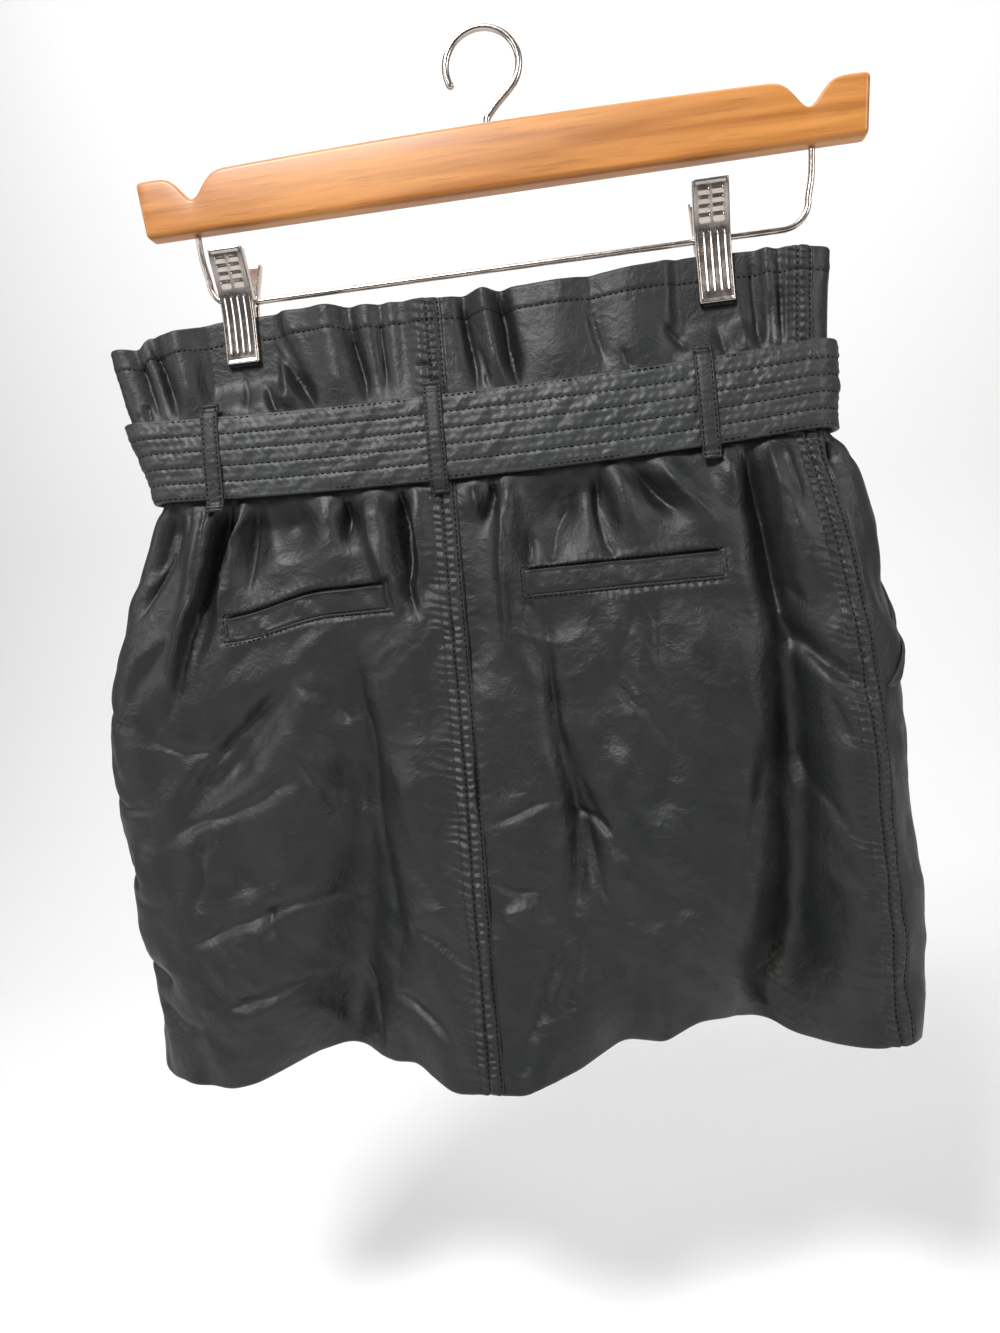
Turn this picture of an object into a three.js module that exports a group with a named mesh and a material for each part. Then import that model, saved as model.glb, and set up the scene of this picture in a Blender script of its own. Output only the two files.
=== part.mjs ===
// Leather mini skirt with a gathered paperbag waist and a stitched belt, held by two clips on the
// wire bar of a wooden hanger.
// Millimetres, +Z up. The origin is the top of the hook's inside, where a rail carries it.
// -Y is the side of the garment's back, and +X runs along the bar.
import * as THREE from 'three';

// Sizes of the skirt. A place on the cloth is p and v: p runs round it from the centre back
// towards +X, and v runs down it from the top edge.
const SKIRT = { centreBackX: -33.5, topZ: -140, length: 416, wall: 1.4, gap: 0.3 };
const CORNER_DROP = { from: -167, to: -175, depth: 6, fadeV: 60 };
const BELT = { top: 48, width: 46, thick: 3, clear: 2.2, bevel: 0.8, sag: 6, sagCentre: 10, sagHalf: 185 };
const LAP = { start: -24, end: 122, rise: 3.4, ramp: 55 };
const LOOP = { width: 10, thick: 1.5, beyond: 7, tack: 5, bed: 0.7, clear: 0.4 };
const BACK_LOOPS = { loop_back_left: -132.6, loop_back_centre: -7.5, loop_back_right: 135.3 };
const FRONT_LOOPS = { loop_front_left: 85, loop_front_right: -85 };
const WELT = { bed: 0.4, thick: 1.4, rows: [9, 10] };
const WELTS = { welt_left: [-132, -41], welt_right: [33, 136] };
const MOUTH = { width: 9, thick: 1.3, bed: 0.9, stations: 14, reach: 4 };

// The outline by height: left and right are the silhouette's x, depth is half the thickness of the
// hollow form, mid its centre's y, and seam the right side seam's p.
const OUTLINE = [
  { v: 0, left: -192, right: 206, depth: 8, mid: 0, seam: 196 },
  { v: 43, left: -184, right: 201, depth: 10, mid: 0, seam: 192 },
  { v: 70, left: -175, right: 199, depth: 12, mid: 0, seam: 191 },
  { v: 94, left: -169, right: 198, depth: 13, mid: 0, seam: 191 },
  { v: 104, left: -175, right: 206, depth: 15, mid: 0, seam: 192 },
  { v: 120, left: -182, right: 213, depth: 18, mid: 1, seam: 195 },
  { v: 160, left: -200, right: 219, depth: 25, mid: 2, seam: 201 },
  { v: 205, left: -212, right: 224, depth: 31, mid: 4, seam: 205 },
  { v: 270, left: -213, right: 225, depth: 35, mid: 5, seam: 207 },
  { v: 330, left: -209, right: 226, depth: 37, mid: 6, seam: 208 },
  { v: 372, left: -202, right: 225, depth: 38, mid: 7, seam: 208 },
  { v: 416, left: -203, right: 221, depth: 38, mid: 8, seam: 208 },
];
const LEFT_SEAM_PAST_EDGE = 16;

// The top edge isn't level: [x, rise]. Nor is the back's lower edge: [p, drop].
const TOP_RISE = [[-185, 1], [-165, 0], [-150, 0], [-129, 3.9], [-99, 4.5], [-81, 3.8], [-60, 3],
  [-45, 1.6], [-25, 0.8], [0, -1], [20, 0], [60, 0], [90, 1], [117, 3.2], [132, 5], [160, 4.4],
  [180, 3], [190, 1], [200, 0]];
const HEM_DROP = [[-235, 0], [-222, -1], [-210, -4], [-195, -1.5], [-180, -2.2], [-165, -1.6],
  [-150, 1.2], [-120, 0], [-90, -1.2], [-63, -2.9], [-49, -5], [-39, -0.5], [-27, 4], [-15, 3.6],
  [0, 2.9], [10, 3.3], [20, 1], [30, -0.8], [45, -4.2], [57, -5.6], [69, -9], [81, -13],
  [93, -16.2], [105, -18.6], [120, -12.8], [129, -7.7], [141, -1.7], [152, 2.8], [165, 0],
  [180, -5], [195, -6], [207, -4], [219, -1.6], [235, 0]];
const HEM_DROP_FROM = 260;

// Folds. Each knot is [v, p, height, half width], and height is outward.
const WAIST_BOW = [[0, 10, 2, 90], [70, 10, 5, 120], [130, 5, 3, 110], [180, 0, 0, 100]];
const BACK_FOLDS = {
  mainFold: [[97, 153, -2, 6], [126, 157, -11, 8], [156, 160, -16, 9], [200, 163, -20, 11],
    [260, 165, -25, 14], [330, 160, -32, 18], [380, 152, -40, 23], [416, 143, -47, 27]],
  leftRecess: [[150, -66, 0, 12], [190, -66, -8, 14], [250, -68, -15, 17], [310, -70, -20, 20],
    [370, -82, -28, 27], [416, -98, -36, 32]],
  leftDiagonal: [[190, -98, 0, 9], [212, -110, -9, 11], [240, -133, -13, 13], [262, -156, -10, 12],
    [285, -176, 0, 9]],
  centreRidge: [[240, 0, 0, 40], [320, 0, 8, 40], [416, 2, 20, 36]],
  rightValley: [[168, 38, 0, 7], [216, 42, -5, 8], [290, 51, -8, 9], [340, 44, -4, 10], [372, 40, 0, 10]],
  hemDip: [[330, 66, 0, 12], [380, 64, -5, 13], [416, 62, -14, 14]],
  hemBump: [[350, 84, 0, 9], [416, 85, 5, 9]],
  sideSwell: [[110, 178, 0, 16], [160, 186, 6, 18], [260, 190, 8, 20], [416, 190, 8, 22]],
  sideCrease: [[188, 164, 0, 6], [204, 174, -6, 7], [222, 192, -4, 7], [236, 200, 0, 6]],
  leftSwell: [[280, -150, 0, 34], [360, -150, 6, 34], [416, -150, 8, 34]],
};
// On the hidden front, p counts from the centre front.
const FRONT_FOLDS = {
  leftFold: [[150, -78, 0, 16], [230, -82, 7, 24], [320, -88, 14, 30], [416, -92, 18, 32]],
  centreFold: [[170, 6, 0, 14], [250, 4, -5, 18], [340, 2, -9, 24], [416, 0, -10, 28]],
  rightFold: [[140, 84, 0, 16], [230, 88, 8, 26], [320, 94, 15, 30], [416, 98, 17, 32]],
  sideDip: [[220, -146, 0, 14], [320, -148, -5, 18], [416, -150, -6, 20]],
};
// Gathers above the belt: [p at the top edge, p at the belt, height, half width].
const TOP_GATHERS = [
  [-176, -163, -2.6, 4.4], [-166, -152, -3, 4.6], [-150, -143, 2.4, 6], [-136, -130, -2, 6],
  [-118, -112, -1.6, 4.4], [-103, -83, 3.6, 6], [-97, -72, -3.6, 5.4], [-64, -58, 2.4, 8],
  [-52, -43, -3.2, 5.2], [-34, -33, -2.4, 4.4], [-22, -22, -1.4, 5], [-8, -6, 1.4, 7],
  [12, 16, -2.8, 4.4], [24, 30, 3.4, 5], [32, 38, -3.6, 4.8], [62, 60, 1.6, 14],
  [80, 85, -1.2, 4.4], [101, 100, 1.6, 12], [133, 120, -2.6, 6], [147, 149, -3, 4.8],
  [157, 158, 3.4, 5], [166, 166, -3.6, 4.6], [179, 177, -2.6, 4.4], [190, 189, 1.4, 6],
];
// Gathers below the belt: [p at the belt, p at the foot, v of the foot, height, half width].
const HIP_GATHERS = [
  [-157, -184, 165, -4.6, 6], [-146, -152, 150, 2.6, 4.6], [-135, -172, 216, 5.4, 5.4],
  [-126, -168, 216, -6, 6], [-119, -140, 168, 4, 5], [-111, -118, 152, -4.4, 6],
  [-91, -92, 132, -6.4, 11], [-73, -72, 152, 3.4, 9], [-60, -57, 130, -5, 6],
  [-44, -34, 172, 5.4, 7.4], [-31, -26, 170, -5, 4.6], [-22, -18, 150, 3, 4.6],
  [11, 12, 118, 3, 6], [20, 19, 128, -4, 4.6], [28, 20, 204, 5, 6], [60, 45, 150, -7, 11],
  [74, 83, 156, -5, 5.2], [86, 92, 150, 3, 7], [93, 124, 138, -4.2, 6], [111, 141, 150, 4, 8],
  [143, 148, 132, 3, 6], [167, 174, 182, 5, 8], [199, 201, 122, -4, 5],
];
// The front's gathers alternate in and out, uneven in place, height and length.
const FRONT_GATHERS = { count: 18, from: -170, pitch: 20, jitter: 7, height: 3.4, halfWidth: 6.5 };
const GOLDEN = 0.618034;

// The edge of each slanted front pocket: [v, distance past the side seam].
const POCKET_EDGE = [[108, 62], [150, 53], [190, 37], [214, 19], [229, 3]];

// Rows of the panels' grids down the garment, and how far the left welt drags them down.
const ROWS = [0, 14, 29, 44, 66, 92, 104, 120, 135, 152, 165, 198, 238, 288, 338, 380, 416];
const WELT_DRAG = { depth: 10.5, from: 72, full: 133, fade: 155, end: 215, v: 160, halfV: 30 };

// Hanger sizes. x values are from the hook.
const HOOK = { wire: 4, inner: 18, tip: 205, turn: -35, arcSteps: 12, steps: 26, sides: 10 };
const ARM = { half: 200, endLean: 4, top: -50, bottom: -86, endTop: -54, thick: 12, round: 2 };
const NOTCH = { x: 168, depth: 14, halfWidth: 9 };
const BAR = { z: -126.7, wire: 3.4, half: 164, topHalf: 168, corner: 14, sides: 8, steps: 62 };
const CLIPS = { clip_left: -147.6, clip_right: 113 };
const PLATE = { width: 19, sheet: 1, flange: 4.5, barClear: 2.1 };
// Each clip plate's inner face: [height above the bar, distance from the middle plane].
const PLATE_FACE = [[25, 17], [22, 16], [8, 8.8], [0, 5.6], [-12, 3.9], [-34, 3.75]];
const PAD = { width: 15.8, top: -15.5, bottom: -35.5, clear: 0.3 };
const PINCH = { full: 18, none: 27, fullV: 30, noneV: 48 };
const SPRING = { outer: 4.2, clear: 0.45, length: 13, sides: 12 };

const material = (color, roughness, metalness = 0) =>
  new THREE.MeshStandardMaterial({ color, roughness, metalness });
const LEATHER = material(0x1b1c1d, 0.48);
const BELT_LEATHER = material(0x222324, 0.5);
const CHROME = material(0xc9c9c8, 0.15, 1);
const WOOD = material(0xc4803a, 0.5);
const RUBBER = material(0x111111, 0.85);

const clamp = (x, low, high) => Math.min(high, Math.max(low, x));
const smooth = (from, to, x) => {
  const t = clamp((x - from) / (to - from), 0, 1);
  return t * t * (3 - 2 * t);
};
const fraction = (x) => x - Math.floor(x);
const bump = (distance, halfWidth) => Math.exp(-((distance / halfWidth) ** 2));
const wrap = (p, girth) => ((p % girth) + girth) % girth;

// A smooth curve through the knots [at, value], level beyond its ends.
function through(knots, at) {
  const last = knots.length - 1;
  const rising = knots[last][0] > knots[0][0];
  const k = rising ? knots : [...knots].reverse();
  if (at <= k[0][0]) return k[0][1];
  if (at >= k[last][0]) return k[last][1];
  const i = k.findIndex((knot, index) => at < k[index + 1][0]);
  const slope = (n) => {
    const a = k[Math.max(n - 1, 0)];
    const b = k[Math.min(n + 1, last)];
    return (b[1] - a[1]) / (b[0] - a[0]);
  };
  const span = k[i + 1][0] - k[i][0];
  const t = (at - k[i][0]) / span;
  const fromStart = k[i][1] * (1 + 2 * t) * (1 - t) ** 2 + slope(i) * span * t * (1 - t) ** 2;
  const fromEnd = k[i + 1][1] * t * t * (3 - 2 * t) + slope(i + 1) * span * t * t * (t - 1);
  return fromStart + fromEnd;
}

const OUTLINE_CURVES = Object.fromEntries(
  ['left', 'right', 'depth', 'mid', 'seam'].map((key) => [key, OUTLINE.map((row) => [row.v, row[key]])]),
);

// The hollow form's sizes at a height: a flat back and front joined by half-round sides.
function sectionAt(v) {
  const s = Object.fromEntries(
    Object.entries(OUTLINE_CURVES).map(([key, knots]) => [key, through(knots, v)]),
  );
  s.toRight = s.right - s.depth;
  s.toLeft = -s.left - s.depth;
  s.end = Math.PI * s.depth;
  s.girth = 2 * (s.toRight + s.toLeft + s.end);
  s.leftSeam = -(s.toLeft + s.end / 2 + LEFT_SEAM_PAST_EDGE);
  return s;
}
const WAIST = sectionAt(BELT.top + BELT.width / 2);

// The point at p round a section, grown outward by offset: x, y and the outward normal.
function onSection(s, p, offset = 0) {
  const at = wrap(p, s.girth);
  const r = s.depth + offset;
  const flat = s.toRight + s.toLeft;
  const corner = (x, turn) => {
    const [nx, ny] = [Math.sin(turn), -Math.cos(turn)];
    return { x: x + r * nx, y: s.mid + r * ny, nx, ny };
  };
  if (at <= s.toRight) return { x: at, y: s.mid - r, nx: 0, ny: -1 };
  if (at <= s.toRight + s.end) return corner(s.toRight, (at - s.toRight) / s.depth);
  if (at <= s.toRight + s.end + flat) {
    return { x: 2 * s.toRight + s.end - at, y: s.mid + r, nx: 0, ny: 1 };
  }
  if (at <= s.toRight + 2 * s.end + flat) {
    return corner(-s.toLeft, Math.PI + (at - s.toRight - s.end - flat) / s.depth);
  }
  return { x: at - s.girth, y: s.mid - r, nx: 0, ny: -1 };
}

// p from the centre back, negative on its left.
function backPlace(s, p) {
  const at = wrap(p, s.girth);
  return at > s.girth / 2 ? at - s.girth : at;
}

// How far the belt and the rows beside it sag at p on a section.
function sagAt(s, p) {
  const { x } = onSection(WAIST, (p / s.girth) * WAIST.girth);
  return BELT.sag * Math.max(0, 1 - ((x - BELT.sagCentre) / BELT.sagHalf) ** 2);
}

function foldHeight(knots, p, v) {
  const first = knots[0][0];
  const last = knots[knots.length - 1][0];
  if (v < first - 20 || v > last + 20) return 0;
  const pick = (index) => through(knots.map((knot) => [knot[0], knot[index]]), v);
  const fade = smooth(first - 20, first, v) * (1 - smooth(last, last + 20, v));
  return fade * pick(2) * bump(p - pick(1), pick(3));
}

// Gathers run full above the belt, are pressed nearly flat under it and die out below.
function topGather([pTop, pBelt, height, halfWidth], p, v) {
  const at = pTop + (pBelt - pTop) * clamp(v / BELT.top, 0, 1.3);
  const press = 1 - 0.8 * smooth(30, 50, v) - 0.2 * smooth(62, 84, v);
  return press * height * bump(p - at, halfWidth);
}
function hipGather([pBelt, pFoot, vFoot, height, halfWidth], p, v) {
  const vBelt = BELT.top + BELT.width + 3;
  const t = clamp((v - vBelt) / (vFoot - vBelt), 0, 1);
  const at = pBelt + (pFoot - pBelt) * t;
  const rise = 0.15 * smooth(66, 90, v) + 0.85 * smooth(93, 110, v);
  return rise * (1 - smooth(0.35, 1, t)) * height * bump(p - at, halfWidth * (1 + 0.6 * t));
}
const FRONT_ROWS = Array.from({ length: FRONT_GATHERS.count }, (_, i) => {
  const g = FRONT_GATHERS;
  const at = g.from + i * g.pitch + g.jitter * (fraction(i * GOLDEN) - 0.5);
  const height = (i % 2 ? 1 : -1) * g.height * (0.6 + 0.6 * fraction(i * GOLDEN * 3));
  const foot = 130 + 70 * fraction(i * GOLDEN * 5);
  return { at, height, foot, halfWidth: g.halfWidth * (0.9 + 0.4 * fraction(i * GOLDEN * 7)) };
});

const bowHeight = (back, front, v) => foldHeight(WAIST_BOW, back, v) + foldHeight(WAIST_BOW, front, v);

// How far the cloth stands outside the plain section.
function clothHeight(s, p, v) {
  const at = wrap(p, s.girth);
  const front = at - s.girth / 2;
  const back = backPlace(s, p);
  const u = v - sagAt(s, at);
  let height = bowHeight(back, front, v);
  for (const knots of Object.values(BACK_FOLDS)) height += foldHeight(knots, back, v);
  for (const knots of Object.values(FRONT_FOLDS)) height += foldHeight(knots, front, v);
  for (const row of TOP_GATHERS) height += topGather(row, back, u);
  for (const row of HIP_GATHERS) height += hipGather(row, back, u);
  for (const row of FRONT_ROWS) {
    height += topGather([row.at, row.at, row.height, row.halfWidth], front, u);
    height += hipGather([row.at, row.at, row.foot, row.height, row.halfWidth], front, u);
  }
  return height;
}

// Each clip presses the front and back walls together at the top edge.
function clipPress(x, v) {
  const near = Object.values(CLIPS).map((clipX) => {
    const distance = Math.abs(x + SKIRT.centreBackX - clipX);
    return 1 - smooth(PINCH.full, PINCH.none, distance);
  });
  return (1 - smooth(PINCH.fullV, PINCH.noneV, v)) * Math.max(...near);
}

// A point of the cloth's outer surface.
function clothPoint(p, v) {
  const s = sectionAt(v);
  const height = clothHeight(s, p, v);
  const base = onSection(s, p);
  const press = clipPress(base.x, v);
  const pinchedY = Math.sign(base.ny) * (SKIRT.wall + SKIRT.gap / 2);
  const x = base.x + base.nx * height * (1 - press);
  const y = (base.y + base.ny * height) * (1 - press) + pinchedY * press;
  const lift = -0.12 * height * (v / SKIRT.length) ** 2;
  const corner = CORNER_DROP.depth * smooth(CORNER_DROP.from, CORNER_DROP.to, base.x);
  const rise = through(TOP_RISE, base.x) * (1 - smooth(0, BELT.top, v));
  const hem = through(HEM_DROP, backPlace(s, p)) * smooth(HEM_DROP_FROM, SKIRT.length, v);
  const drop = corner * (1 - smooth(0, CORNER_DROP.fadeV, v)) + hem - rise;
  return new THREE.Vector3(SKIRT.centreBackX + x, y, SKIRT.topZ - v + lift - drop);
}

// The level outward normal of the cloth at a place.
function clothNormal(p, v, step = 0.8) {
  const across = clothPoint(p + step, v).sub(clothPoint(p - step, v));
  return new THREE.Vector3(across.y, -across.x, 0).normalize();
}

// A closed sheet over a grid, from its outer points to the inner points behind them.
// i runs along +p and j runs down.
function closedSheet(nu, nv, outer, inner) {
  const positions = [];
  const index = [];
  const id = (layer, i, j) => layer * (nu + 1) * (nv + 1) + j * (nu + 1) + i;
  for (const layer of [outer, inner]) {
    for (let j = 0; j <= nv; j += 1) {
      for (let i = 0; i <= nu; i += 1) positions.push(...layer(i, j).toArray());
    }
  }
  const quad = (a, b, c, d) => index.push(a, b, c, a, c, d);
  for (let j = 0; j < nv; j += 1) {
    for (let i = 0; i < nu; i += 1) {
      quad(id(0, i, j), id(0, i, j + 1), id(0, i + 1, j + 1), id(0, i + 1, j));
      quad(id(1, i, j), id(1, i + 1, j), id(1, i + 1, j + 1), id(1, i, j + 1));
    }
  }
  for (let i = 0; i < nu; i += 1) {
    quad(id(1, i, 0), id(0, i, 0), id(0, i + 1, 0), id(1, i + 1, 0));
    quad(id(0, i, nv), id(1, i, nv), id(1, i + 1, nv), id(0, i + 1, nv));
  }
  for (let j = 0; j < nv; j += 1) {
    quad(id(1, 0, j), id(1, 0, j + 1), id(0, 0, j + 1), id(0, 0, j));
    quad(id(0, nu, j + 1), id(1, nu, j + 1), id(1, nu, j), id(0, nu, j));
  }
  const geometry = new THREE.BufferGeometry();
  geometry.setAttribute('position', new THREE.Float32BufferAttribute(positions, 3));
  geometry.setIndex(index);
  geometry.computeVertexNormals();
  return geometry;
}

const group = new THREE.Group();
function add(name, geometry, look) {
  const mesh = new THREE.Mesh(geometry, look);
  mesh.name = name;
  group.add(mesh);
  return mesh;
}

// The body panels between seams, and their grids' columns. from and to are places at a section.
const PANELS = {
  back_right: { columns: 48, from: () => 0, to: (s) => s.seam },
  front: { columns: 50, from: (s) => s.seam, to: (s) => s.girth + s.leftSeam },
  back_left: { columns: 46, from: (s) => s.leftSeam, to: () => 0 },
};

// The left welt hangs lower at its outer end and drags the cloth's rows with it.
function rowHeight(j, s, p) {
  const out = -p;
  const drag = smooth(WELT_DRAG.from, WELT_DRAG.full, out) * (1 - smooth(WELT_DRAG.fade, WELT_DRAG.end, out));
  const welt = WELT_DRAG.depth * drag * bump(ROWS[j] - WELT_DRAG.v, WELT_DRAG.halfV);
  const belt = sagAt(s, p) * smooth(0, 40, ROWS[j]) * (1 - smooth(106, 150, ROWS[j]));
  return ROWS[j] + welt + belt;
}

// A grid point of a panel, moved out along the cloth's normal. The front's far edge is measured
// from the centre back the long way round, so it moves with the girth.
function panelPoint(panel, i, j, out) {
  const s = sectionAt(ROWS[j]);
  const start = panel.from(s) + SKIRT.gap / 2;
  const level = start + ((panel.to(s) - SKIRT.gap / 2 - start) * i) / panel.columns;
  const v = rowHeight(j, s, level);
  const pastGirth = panel.to(s) > s.girth / 2 ? sectionAt(v).girth - s.girth : 0;
  const p = level + (pastGirth * i) / panel.columns;
  return clothPoint(p, v).addScaledVector(clothNormal(p, v), out);
}

function skirtPanels() {
  for (const [name, panel] of Object.entries(PANELS)) {
    const outer = (i, j) => panelPoint(panel, i, j, 0);
    const inner = (i, j) => panelPoint(panel, i, j, -SKIRT.wall);
    add(name, closedSheet(panel.columns, ROWS.length - 1, outer, inner), LEATHER);
  }
}

// Welts lie on the back panels, on the panels' own grid points.
function welts() {
  for (const [name, [from, to]] of Object.entries(WELTS)) {
    const panel = from < 0 ? PANELS.back_left : PANELS.back_right;
    const s = sectionAt(WELT_DRAG.v);
    const start = panel.from(s);
    const column = (p) => Math.round(((p - start) / (panel.to(s) - start)) * panel.columns);
    const first = column(from);
    const across = column(to) - first;
    const place = (i, j, out) => panelPoint(panel, first + i, WELT.rows[0] + j, out);
    const outer = (i, j) => place(i, j, WELT.bed + WELT.thick);
    const inner = (i, j) => place(i, j, WELT.bed);
    add(name, closedSheet(across, WELT.rows.length - 1, outer, inner), LEATHER);
  }
}

// The folded lips of the slanted front pockets lie over the front panel.
function pocketMouths() {
  for (const [name, side] of [['pocket_mouth_right', 1], ['pocket_mouth_left', -1]]) {
    const top = POCKET_EDGE[0][0];
    const foot = POCKET_EDGE[POCKET_EDGE.length - 1][0];
    const place = (across, j) => {
      const v = top + ((foot - top) * j) / MOUTH.stations;
      const s = sectionAt(v);
      const past = through(POCKET_EDGE, v) + across;
      return { v, p: side > 0 ? s.seam + past : s.leftSeam - past };
    };
    const at = (across, j, out) => {
      const { p, v } = place(across, j);
      const near = [-MOUTH.reach, 0, MOUTH.reach].map((shift) => clothHeight(sectionAt(v), p + shift, v));
      const raised = Math.max(...near) - near[1] + MOUTH.bed;
      return clothPoint(p, v).addScaledVector(clothNormal(p, v), raised + out);
    };
    const across = (i) => (side > 0 ? i : 2 - i) * (MOUTH.width / 2);
    const outer = (i, j) => at(across(i), j, MOUTH.thick);
    const inner = (i, j) => at(across(i), j, 0);
    add(name, closedSheet(2, MOUTH.stations, outer, inner), LEATHER);
  }
}

// A point over the belt's path. turn is the share of the way round, and passes 1 on the lap.
function beltPoint(turn, down, out) {
  const p = turn * WAIST.girth;
  const lapFrom = WAIST.girth * 1.5 + LAP.start;
  const rise = LAP.rise * smooth(lapFrom - LAP.ramp, lapFrom - 5, p);
  const v = BELT.top + down;
  const s = sectionAt(v);
  const at = wrap(turn * s.girth, s.girth);
  const bow = bowHeight(backPlace(s, at), at - s.girth / 2, v);
  const { x, y } = onSection(s, at, BELT.clear + rise + bow + out);
  return new THREE.Vector3(SKIRT.centreBackX + x, y, SKIRT.topZ - v - sagAt(s, at));
}

// The belt starts on the front, goes once round, and its end laps over its start.
function belt() {
  const start = WAIST.girth / 2 + LAP.start;
  const end = WAIST.girth * 1.5 + LAP.end;
  const stations = [];
  let q = start;
  while (q < end - 2) {
    stations.push(q);
    q += Math.abs(onSection(WAIST, q).ny) > 0.999 ? 12 : 4.2;
  }
  stations.push(end);
  const rows = [0, BELT.bevel, BELT.width - BELT.bevel, BELT.width];
  const bevel = (j) => (j === 0 || j === rows.length - 1 ? BELT.bevel : 0);
  const turn = (i) => stations[i] / WAIST.girth;
  const outer = (i, j) => beltPoint(turn(i), rows[j], BELT.thick - bevel(j));
  const inner = (i, j) => beltPoint(turn(i), rows[j], bevel(j));
  add('belt', closedSheet(stations.length - 1, rows.length - 1, outer, inner), BELT_LEATHER);
}

// A loop is sewn to the cloth above and below the belt and passes over it.
function beltLoop(name, p, lapped) {
  const turn = p / WAIST.girth;
  const side = Math.sign(onSection(WAIST, p).ny);
  const sag = sagAt(WAIST, p);
  const ends = [-LOOP.beyond, BELT.width + LOOP.beyond];
  const downs = [ends[0], ends[0] + LOOP.tack, -1, 1.5, BELT.width - 1.5, BELT.width + 1,
    ends[1] - LOOP.tack, ends[1]];
  const over = (down) => {
    const level = clamp(down, 0, BELT.width);
    const passed = BELT.thick + (lapped ? LAP.rise : 0) + LOOP.clear;
    return Math.abs(beltPoint(turn % 1, level, passed).y);
  };
  const bed = (down) => {
    let highest = 0;
    for (let across = -2; across <= 2; across += 1) {
      for (const shift of [-4, -2, 0, 2, 4]) {
        const v = BELT.top + sag + down + shift;
        const place = turn * sectionAt(v).girth + (across * LOOP.width) / 3;
        highest = Math.max(highest, Math.abs(clothPoint(place, v).y));
      }
    }
    return highest + LOOP.bed;
  };
  const depth = (j) => (j > 1 && j < downs.length - 2 ? over(downs[j]) : bed(downs[j]));
  const middle = beltPoint(turn % 1, BELT.width / 2, 0).x;
  const at = (i, j, out) => new THREE.Vector3(
    middle - side * LOOP.width * (i - 0.5),
    side * (depth(j) + out),
    SKIRT.topZ - BELT.top - sag - downs[j],
  );
  const outer = (i, j) => at(i, j, LOOP.thick);
  const inner = (i, j) => at(i, j, 0);
  add(name, closedSheet(1, downs.length - 1, outer, inner), LEATHER);
}

function beltLoops() {
  for (const [name, p] of Object.entries(BACK_LOOPS)) beltLoop(name, wrap(p, WAIST.girth), false);
  for (const [name, front] of Object.entries(FRONT_LOOPS)) {
    const p = WAIST.girth / 2 + front;
    beltLoop(name, p, front > LAP.start && front < LAP.end);
  }
}

// A round rod along a path.
function rod(name, points, wire, steps, sides, look) {
  const circle = new THREE.Shape(
    Array.from({ length: sides }, (_, i) => {
      const turn = (2 * Math.PI * i) / sides;
      return new THREE.Vector2((wire / 2) * Math.cos(turn), (wire / 2) * Math.sin(turn));
    }),
  );
  const extrudePath = new THREE.CatmullRomCurve3(points, false, 'centripetal');
  add(name, new THREE.ExtrudeGeometry(circle, { steps, bevelEnabled: false, extrudePath }), look);
}

function hook() {
  const radius = HOOK.inner + HOOK.wire / 2;
  const points = [];
  for (let i = 0; i <= HOOK.arcSteps; i += 1) {
    const turn = THREE.MathUtils.degToRad(HOOK.tip + ((HOOK.turn - HOOK.tip) * i) / HOOK.arcSteps);
    points.push(new THREE.Vector3(radius * Math.cos(turn), 0, radius * Math.sin(turn) - HOOK.inner));
  }
  const foot = ARM.top + SKIRT.gap;
  points.push(new THREE.Vector3(4, 0, foot + 8), new THREE.Vector3(0, 0, foot + 3), new THREE.Vector3(0, 0, foot));
  rod('hanger_hook', points, HOOK.wire, HOOK.steps, HOOK.sides, CHROME);
}

// The wooden arm: flat below, crowned above, with a strap notch near each end.
function arm() {
  const topAt = (x) => {
    const crown = ARM.endTop + (ARM.top - ARM.endTop) * Math.cos((Math.PI / 2) * Math.min(1, Math.abs(x) / ARM.half));
    return crown - NOTCH.depth * bump(Math.abs(x) - NOTCH.x, NOTCH.halfWidth);
  };
  const foot = ARM.half - ARM.endLean;
  const outline = [[-foot, ARM.bottom], [foot, ARM.bottom], [ARM.half, topAt(ARM.half)]];
  const xs = [192, 184, 178, 173, 168, 163, 158, 152, 144, 110, 55];
  for (const x of [...xs, 0, ...xs.map((value) => -value).reverse()]) outline.push([x, topAt(x)]);
  outline.push([-ARM.half, topAt(ARM.half)]);
  const inset = outline.map(([x, z]) => {
    const middle = (ARM.top + ARM.bottom) / 2;
    return new THREE.Vector2(x - Math.sign(x) * ARM.round, z - Math.sign(z - middle) * ARM.round);
  });
  const geometry = new THREE.ExtrudeGeometry(new THREE.Shape(inset), {
    depth: ARM.thick - 2 * ARM.round,
    bevelThickness: ARM.round,
    bevelSize: ARM.round,
    bevelSegments: 2,
  });
  geometry.rotateX(Math.PI / 2);
  geometry.translate(0, ARM.thick / 2 - ARM.round, 0);
  add('hanger_arm', geometry, WOOD);
}

function bar() {
  const { z, half, topHalf, corner } = BAR;
  const top = ARM.bottom - SKIRT.gap;
  const side = [[topHalf, top], [topHalf - 1.5, top - 15], [half + 0.4, z + corner],
    [half - 1.4, z + corner * 0.42], [half - corner * 0.42, z + 1.4], [half - corner, z]];
  const left = side.map(([x, height]) => new THREE.Vector3(-x, 0, height));
  const right = side.map(([x, height]) => new THREE.Vector3(x, 0, height)).reverse();
  const middle = [-138, -75, 0, 75, 138].map((x) => new THREE.Vector3(x, 0, z));
  rod('hanger_bar', [...left, ...middle, ...right], BAR.wire, BAR.steps, BAR.sides, CHROME);
}

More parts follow.
